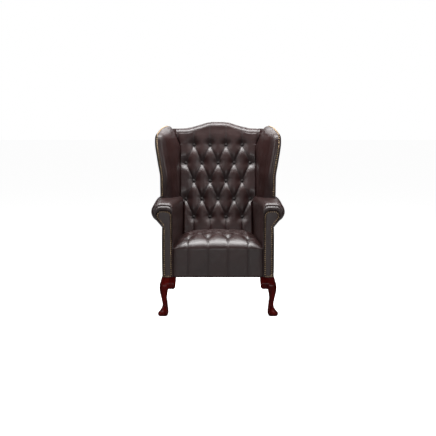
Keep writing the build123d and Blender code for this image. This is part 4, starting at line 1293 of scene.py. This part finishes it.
class ChairColours(bpy.types.PropertyGroup):
    """Colours of the leather, the wood and the nails."""

    leather: bpy.props.FloatVectorProperty(
        name="Leather", description="Main tone", default=(0.0155, 0.0046, 0.004), subtype="COLOR")
    leather_worn: bpy.props.FloatVectorProperty(
        name="Rubbed leather", description="Where it is handled", default=(0.026, 0.0068, 0.0057),
        subtype="COLOR")
    # Painted shade: the hide's colour deep in the pleats and seams and on the buttons
    leather_fold_shade: bpy.props.FloatVectorProperty(
        name="Folds", description="Deep in the pleats", default=(0.0028, 0.0012, 0.0011), subtype="COLOR")
    wood_dark: bpy.props.FloatVectorProperty(
        name="Dark wood", description="Dark streaks", default=(0.024, 0.0006, 0.0004), subtype="COLOR")
    wood_light: bpy.props.FloatVectorProperty(
        name="Light wood", description="Light streaks", default=(0.105, 0.0024, 0.0012), subtype="COLOR")
    nail: bpy.props.FloatVectorProperty(
        name="Nails", description="Antique brass", default=(0.44, 0.32, 0.2), subtype="COLOR")


# Operators
class CHAIR_OT_back(bpy.types.Operator):
    """Makes the deep-buttoned back with its rolled crest and the foam under it"""

    bl_idname = "chair.back"
    bl_label = "Buttoned back"

    def execute(self, context):
        piece = shaped_grid("back_leather", BACK_FACES, back_place)
        sheet = shaped_grid("back_foam_sheet", BACK_FACES,
                            lambda s, t: back_place(mix(0.05, 0.95, s), mix(0, 0.93, t)))
        finished(wadding(sheet, "back_wadding", 5, 14), finishes()["foam"], ["back_foam"])
        bpy.data.objects.remove(sheet)
        thicken(piece)
        finished(piece, finishes()["leather"], ["back_cover", "crest_roll"], TUFT_EDGE)
        return {"FINISHED"}


class CHAIR_OT_seat(bpy.types.Operator):
    """Makes the buttoned seat with its pleated front and the foam under it"""

    bl_idname = "chair.seat"
    bl_label = "Buttoned seat"

    def execute(self, context):
        piece = shaped_grid("seat_leather", SEAT_FACES, seat_place)
        sheet = shaped_grid("seat_foam_sheet", SEAT_FACES,
                            lambda s, t: seat_place(mix(0.05, 0.95, s), mix(0.05, 0.97, t)))
        finished(wadding(sheet, "seat_wadding", 5, 14), finishes()["foam"], ["seat_foam"])
        bpy.data.objects.remove(sheet)
        thicken(piece)
        finished(piece, finishes()["leather"], ["seat_cover"], TUFT_EDGE)
        return {"FINISHED"}


class CHAIR_OT_arms(bpy.types.Operator):
    """Makes the rolled arms with the pleated ring at their fronts"""

    bl_idname = "chair.arms"
    bl_label = "Rolled arms"

    def execute(self, context):
        place = arm_place_maker()
        piece = shaped_grid("arm_leather_left", (ARM_COLUMNS, ARM_ROWS), place)
        sheet = shaped_grid("arm_foam_sheet", (ARM_COLUMNS, ARM_WADDING_ROWS),
                            lambda s, t: place(s, mix(0.38, 0.975, t)))
        foam = wadding(sheet, "arm_wadding_left", 4, 6)
        bpy.data.objects.remove(sheet)
        finished_pair(foam, "arm_wadding", ["arm_foam"], "foam")
        thicken(piece, SOFT_HIDE)
        finished_pair(piece, "arm_leather", ["arm_cover"])
        return {"FINISHED"}


class CHAIR_OT_facings(bpy.types.Operator):
    """Makes the padded front panels of the arms"""

    bl_idname = "chair.facings"
    bl_label = "Arm facings"

    def execute(self, context):
        piece = shaped_grid("facing_leather_left", (FACING_COLUMNS, FACING_MIDDLE), facing_place)
        close_seams(piece)
        thicken(piece, SOFT_HIDE)
        finished_pair(piece, "facing_leather", ["arm_facing"])
        return {"FINISHED"}


class CHAIR_OT_wings(bpy.types.Operator):
    """Makes the padded wings and the leather outside them"""

    bl_idname = "chair.wings"
    bl_label = "Wings"

    def execute(self, context):
        pad = shaped_grid("wing_leather_left", WING_FACES, wing_place)
        close_seams(pad)
        foam = wadding(pad, "wing_wadding_left", 3, 6)
        finished_pair(foam, "wing_wadding", ["wing_foam"], "foam")
        thicken(pad, SOFT_HIDE)
        finished_pair(pad, "wing_leather", ["wing_cover"])
        panel = shaped_grid("wing_panel_left", WING_PANEL_FACES, wing_panel_place)
        close_seams(panel)
        thicken(panel, WING_PANEL_HIDE)
        finished_pair(panel, "wing_panel", ["outside_wing"])
        return {"FINISHED"}


class CHAIR_OT_panels(bpy.types.Operator):
    """Makes the outside leather of the arms and the back, and the lining under the seat"""

    bl_idname = "chair.panels"
    bl_label = "Outside panels"

    def execute(self, context):
        arm = shaped_grid("arm_panel_left", ARM_PANEL_FACES, arm_panel_place)
        thicken(arm, PANEL_HIDE)
        finished_pair(arm, "arm_panel", ["outside_arm"])
        rear = shaped_grid("back_panel", BACK_PANEL_FACES, back_panel_place)
        thicken(rear, PANEL_HIDE)
        finished(rear, finishes()["leather"], ["outside_back"])
        lining = shaped_grid("dust_lining", LINING_FACES, dust_place)
        close_seams(lining)
        thicken(lining, LINING)
        finished(lining, finishes()["lining"], ["dust_cover"])
        return {"FINISHED"}


class CHAIR_OT_buttons(bpy.types.Operator):
    """Makes the covered buttons of the back and the seat"""

    bl_idname = "chair.buttons"
    bl_label = "Buttons"

    def execute(self, context):
        sizes = context.scene.chair_sizes
        model = dome("button_model", sizes.button_radius, BUTTON_HEIGHT, 20, 12, BUTTON_SHADE)
        out = on_back(0, 0, 1) - on_back(0, 0, 0)
        places = [(on_back(u, v, BUTTON_OUT), out) for u, v in back_marks()]
        back = scattered(model, "back_buttons_leather", places)
        finished(back, finishes()["leather"], ["back_buttons"], BUTTON_EDGE)
        places = []
        for x, y in seat_marks():
            sunk = 4 if y < SEAT_FIRST + 9 else -1
            places.append(((x, y, seat_level(x, y, SEAT_VALLEY - sunk)), (0, 0, 1)))
        seat = scattered(model, "seat_buttons_leather", places)
        finished(seat, finishes()["leather"], ["seat_buttons"], BUTTON_EDGE)
        bpy.data.objects.remove(model)
        return {"FINISHED"}


class CHAIR_OT_nails(bpy.types.Operator):
    """Sets the brass nails round the facings, along the wings and round the outside back"""

    bl_idname = "chair.nails"
    bl_label = "Brass nails"

    def execute(self, context):
        sizes = context.scene.chair_sizes
        model = dome("nail_model", sizes.nail_radius, NAIL_HEIGHT, 10, 6)
        for name, places in (("facing_nails", facing_nails()), ("wing_nails", wing_nails())):
            left = scattered(model, f"{name}_left", places)
            for piece in (other_side(left, f"{name}_right"), left):
                finished(piece, finishes()["brass"], (), NAIL_EDGE)
        rear = scattered(model, "back_nails", rear_nails())
        finished(rear, finishes()["brass"], (), NAIL_EDGE)
        bpy.data.objects.remove(model)
        return {"FINISHED"}


class CHAIR_OT_legs(bpy.types.Operator):
    """Makes the polished cabriole legs and their knee blocks"""

    bl_idname = "chair.legs"
    bl_label = "Front legs"

    def execute(self, context):
        leg = shaped_grid("cabriole_leg_left", LEG_FACES, leg_place)
        close_seams(leg)
        block = shaped_grid("knee_front_left", KNEE_FACES, knee_place)
        thicken(block, KNEE_DEPTH)
        side = copied(block, "knee_side_left")
        corner = Vector((BODY_HALF, BODY_FRONT, 0)) * MM
        swap = Matrix(((0, -1, 0, 0), (-1, 0, 0, 0), (0, 0, 1, 0), (0, 0, 0, 1)))
        side.data.transform(Matrix.Translation(corner) @ swap @ Matrix.Translation(-corner))
        side.data.flip_normals()
        finished_pair(leg, "cabriole_leg", ["front_leg"], "mahogany", WOOD_EDGE)
        for piece, stem in ((block, "knee_front"), (side, "knee_side")):
            only(piece)
            modifier = piece.modifiers.new("rounding", "BEVEL")
            modifier.width = KNEE_ROUNDING * MM
            modifier.segments = 3
            modifier.limit_method = "ANGLE"
            bpy.ops.object.modifier_apply(modifier=modifier.name)
            finished_pair(piece, stem, ["knee_blocks"], "mahogany", WOOD_EDGE)
        return {"FINISHED"}


class CHAIR_OT_frame(bpy.types.Operator):
    """Gives the frame, springs, foam and cloth under the leather their finishes"""

    bl_idname = "chair.frame"
    bl_label = "Inner frame"

    def execute(self, context):
        slots = {"leg_wood": "mahogany", "frame_wood": "beech", "foam": "foam", "hessian": "jute",
                 "webbing": "webbing", "dust_cloth": "lining", "spring_steel": "steel", "bolt_steel": "steel",
                 "leather": "leather"}
        for entry in frame["record"]["subparts"]:
            node = frame["nodes"][entry["node"]]
            node.data.materials.clear()
            node.data.materials.append(finishes()[slots[entry["material_slot"]]])
        return {"FINISHED"}


# The stage, in metres and watts: each lamp's name, place, aim, size and power
LAMPS = (
    ("top_lamp", (0, -0.05, 2.9), (0, -0.05, 0.5), (2.8, 1.0), 165),
    ("front_lamp", (0, -6.2, 1.1), (0, 0, 0.4), (1.8, 0.7), 56),
    ("left_lamp", (2.9, -1.6, 1.7), (0, 0, 0.6), (0.8, 1.8), 26),
    ("right_lamp", (-2.9, -1.6, 1.7), (0, 0, 0.6), (0.8, 1.8), 26),
    ("rear_lamp", (0, 3.0, 2.6), (0, 0, 0.7), (2.4, 1.0), 30),
)
CAMERA_PLACE = (0, -9.4, 1.3)
CAMERA_AIM = (0, -0.4, 0.5609)
SENSOR_WIDTH = 36
LENS = 131.73
FLOOR_SIZE = 60
FLOOR_GLOW = 0.94
SURROUND_GLOW = 0.045


def aimed(thing, place, aim):
    """Sets a lamp or a camera in place and turns it towards its aim."""
    bpy.context.scene.collection.objects.link(thing)
    thing.location = place
    thing.rotation_euler = (Vector(aim) - Vector(place)).to_track_quat("-Z", "Y").to_euler()


class CHAIR_OT_stage(bpy.types.Operator):
    """Sets the white floor, the soft lamps and the camera"""

    bl_idname = "chair.stage"
    bl_label = "Stage"

    def execute(self, context):
        bpy.ops.object.select_all(action="DESELECT")
        bpy.ops.mesh.primitive_plane_add(size=FLOOR_SIZE, location=(0, 0, 0))
        floor = context.object
        floor.name = "floor"
        finish, r, surface = new_finish("white_floor")
        seen = r.add("ShaderNodeLightPath").outputs["Is Camera Ray"]
        r.tree.links.new(r.blend(seen, (0.3, 0.3, 0.3, 1), (0.8, 0.8, 0.8, 1)), surface.inputs["Base Color"])
        r.tree.links.new(r.math("MULTIPLY", seen, FLOOR_GLOW), surface.inputs["Emission Strength"])
        surface.inputs["Emission Color"].default_value = (1, 1, 1, 1)
        surface.inputs["Roughness"].default_value = 0.9
        surface.inputs["Specular IOR Level"].default_value = 0.0
        floor.data.materials.append(finish)

        world = bpy.data.worlds.new("white_surround")
        context.scene.world = world
        world.use_nodes = True
        w = Recipe(world.node_tree)
        backdrop = world.node_tree.nodes["Background"]
        seen = w.add("ShaderNodeLightPath").outputs["Is Camera Ray"]
        backdrop.inputs["Color"].default_value = (1, 1, 1, 1)
        glow = w.spread(seen, 0.0, 1.0, SURROUND_GLOW, 1.0)
        world.node_tree.links.new(glow, backdrop.inputs["Strength"])

        for name, place, aim, size, power in LAMPS:
            lamp = bpy.data.lights.new(name, "AREA")
            lamp.shape = "RECTANGLE"
            lamp.size, lamp.size_y = size
            lamp.energy = power
            aimed(bpy.data.objects.new(name, lamp), place, aim)

        view = bpy.data.cameras.new("camera")
        view.sensor_width = SENSOR_WIDTH
        view.lens = LENS
        camera = bpy.data.objects.new("camera", view)
        aimed(camera, CAMERA_PLACE, CAMERA_AIM)
        context.scene.camera = camera
        context.scene.view_settings.view_transform = "Standard"
        return {"FINISHED"}


class CHAIR_PT_panel(bpy.types.Panel):
    """Lists the chair's pieces"""

    bl_idname = "CHAIR_PT_panel"
    bl_label = "Wing chair"
    bl_space_type = "VIEW_3D"
    bl_region_type = "UI"
    bl_category = "Wing chair"

    def draw(self, context):
        for operator in OPERATORS:
            self.layout.operator(operator.bl_idname)
        for group in (context.scene.chair_sizes, context.scene.chair_colours):
            for name in group.__annotations__:
                self.layout.prop(group, name)


OPERATORS = (CHAIR_OT_frame, CHAIR_OT_back, CHAIR_OT_seat, CHAIR_OT_arms, CHAIR_OT_facings, CHAIR_OT_wings,
             CHAIR_OT_panels, CHAIR_OT_buttons, CHAIR_OT_nails, CHAIR_OT_legs, CHAIR_OT_stage)
CLASSES = (ChairSizes, ChairColours, *OPERATORS, CHAIR_PT_panel)


def register():
    """Registers the chair's classes and its sizes and colours."""
    for item in CLASSES:
        bpy.utils.register_class(item)
    bpy.types.Scene.chair_sizes = bpy.props.PointerProperty(type=ChairSizes)
    bpy.types.Scene.chair_colours = bpy.props.PointerProperty(type=ChairColours)


def unregister():
    """Takes the chair's classes away again."""
    del bpy.types.Scene.chair_colours
    del bpy.types.Scene.chair_sizes
    for item in reversed(CLASSES):
        bpy.utils.unregister_class(item)


def main():
    """Makes every piece in order."""
    register()
    for operator in OPERATORS:
        getattr(bpy.ops.chair, operator.bl_idname.split(".")[1])()


if __name__ == "__main__":
    main()
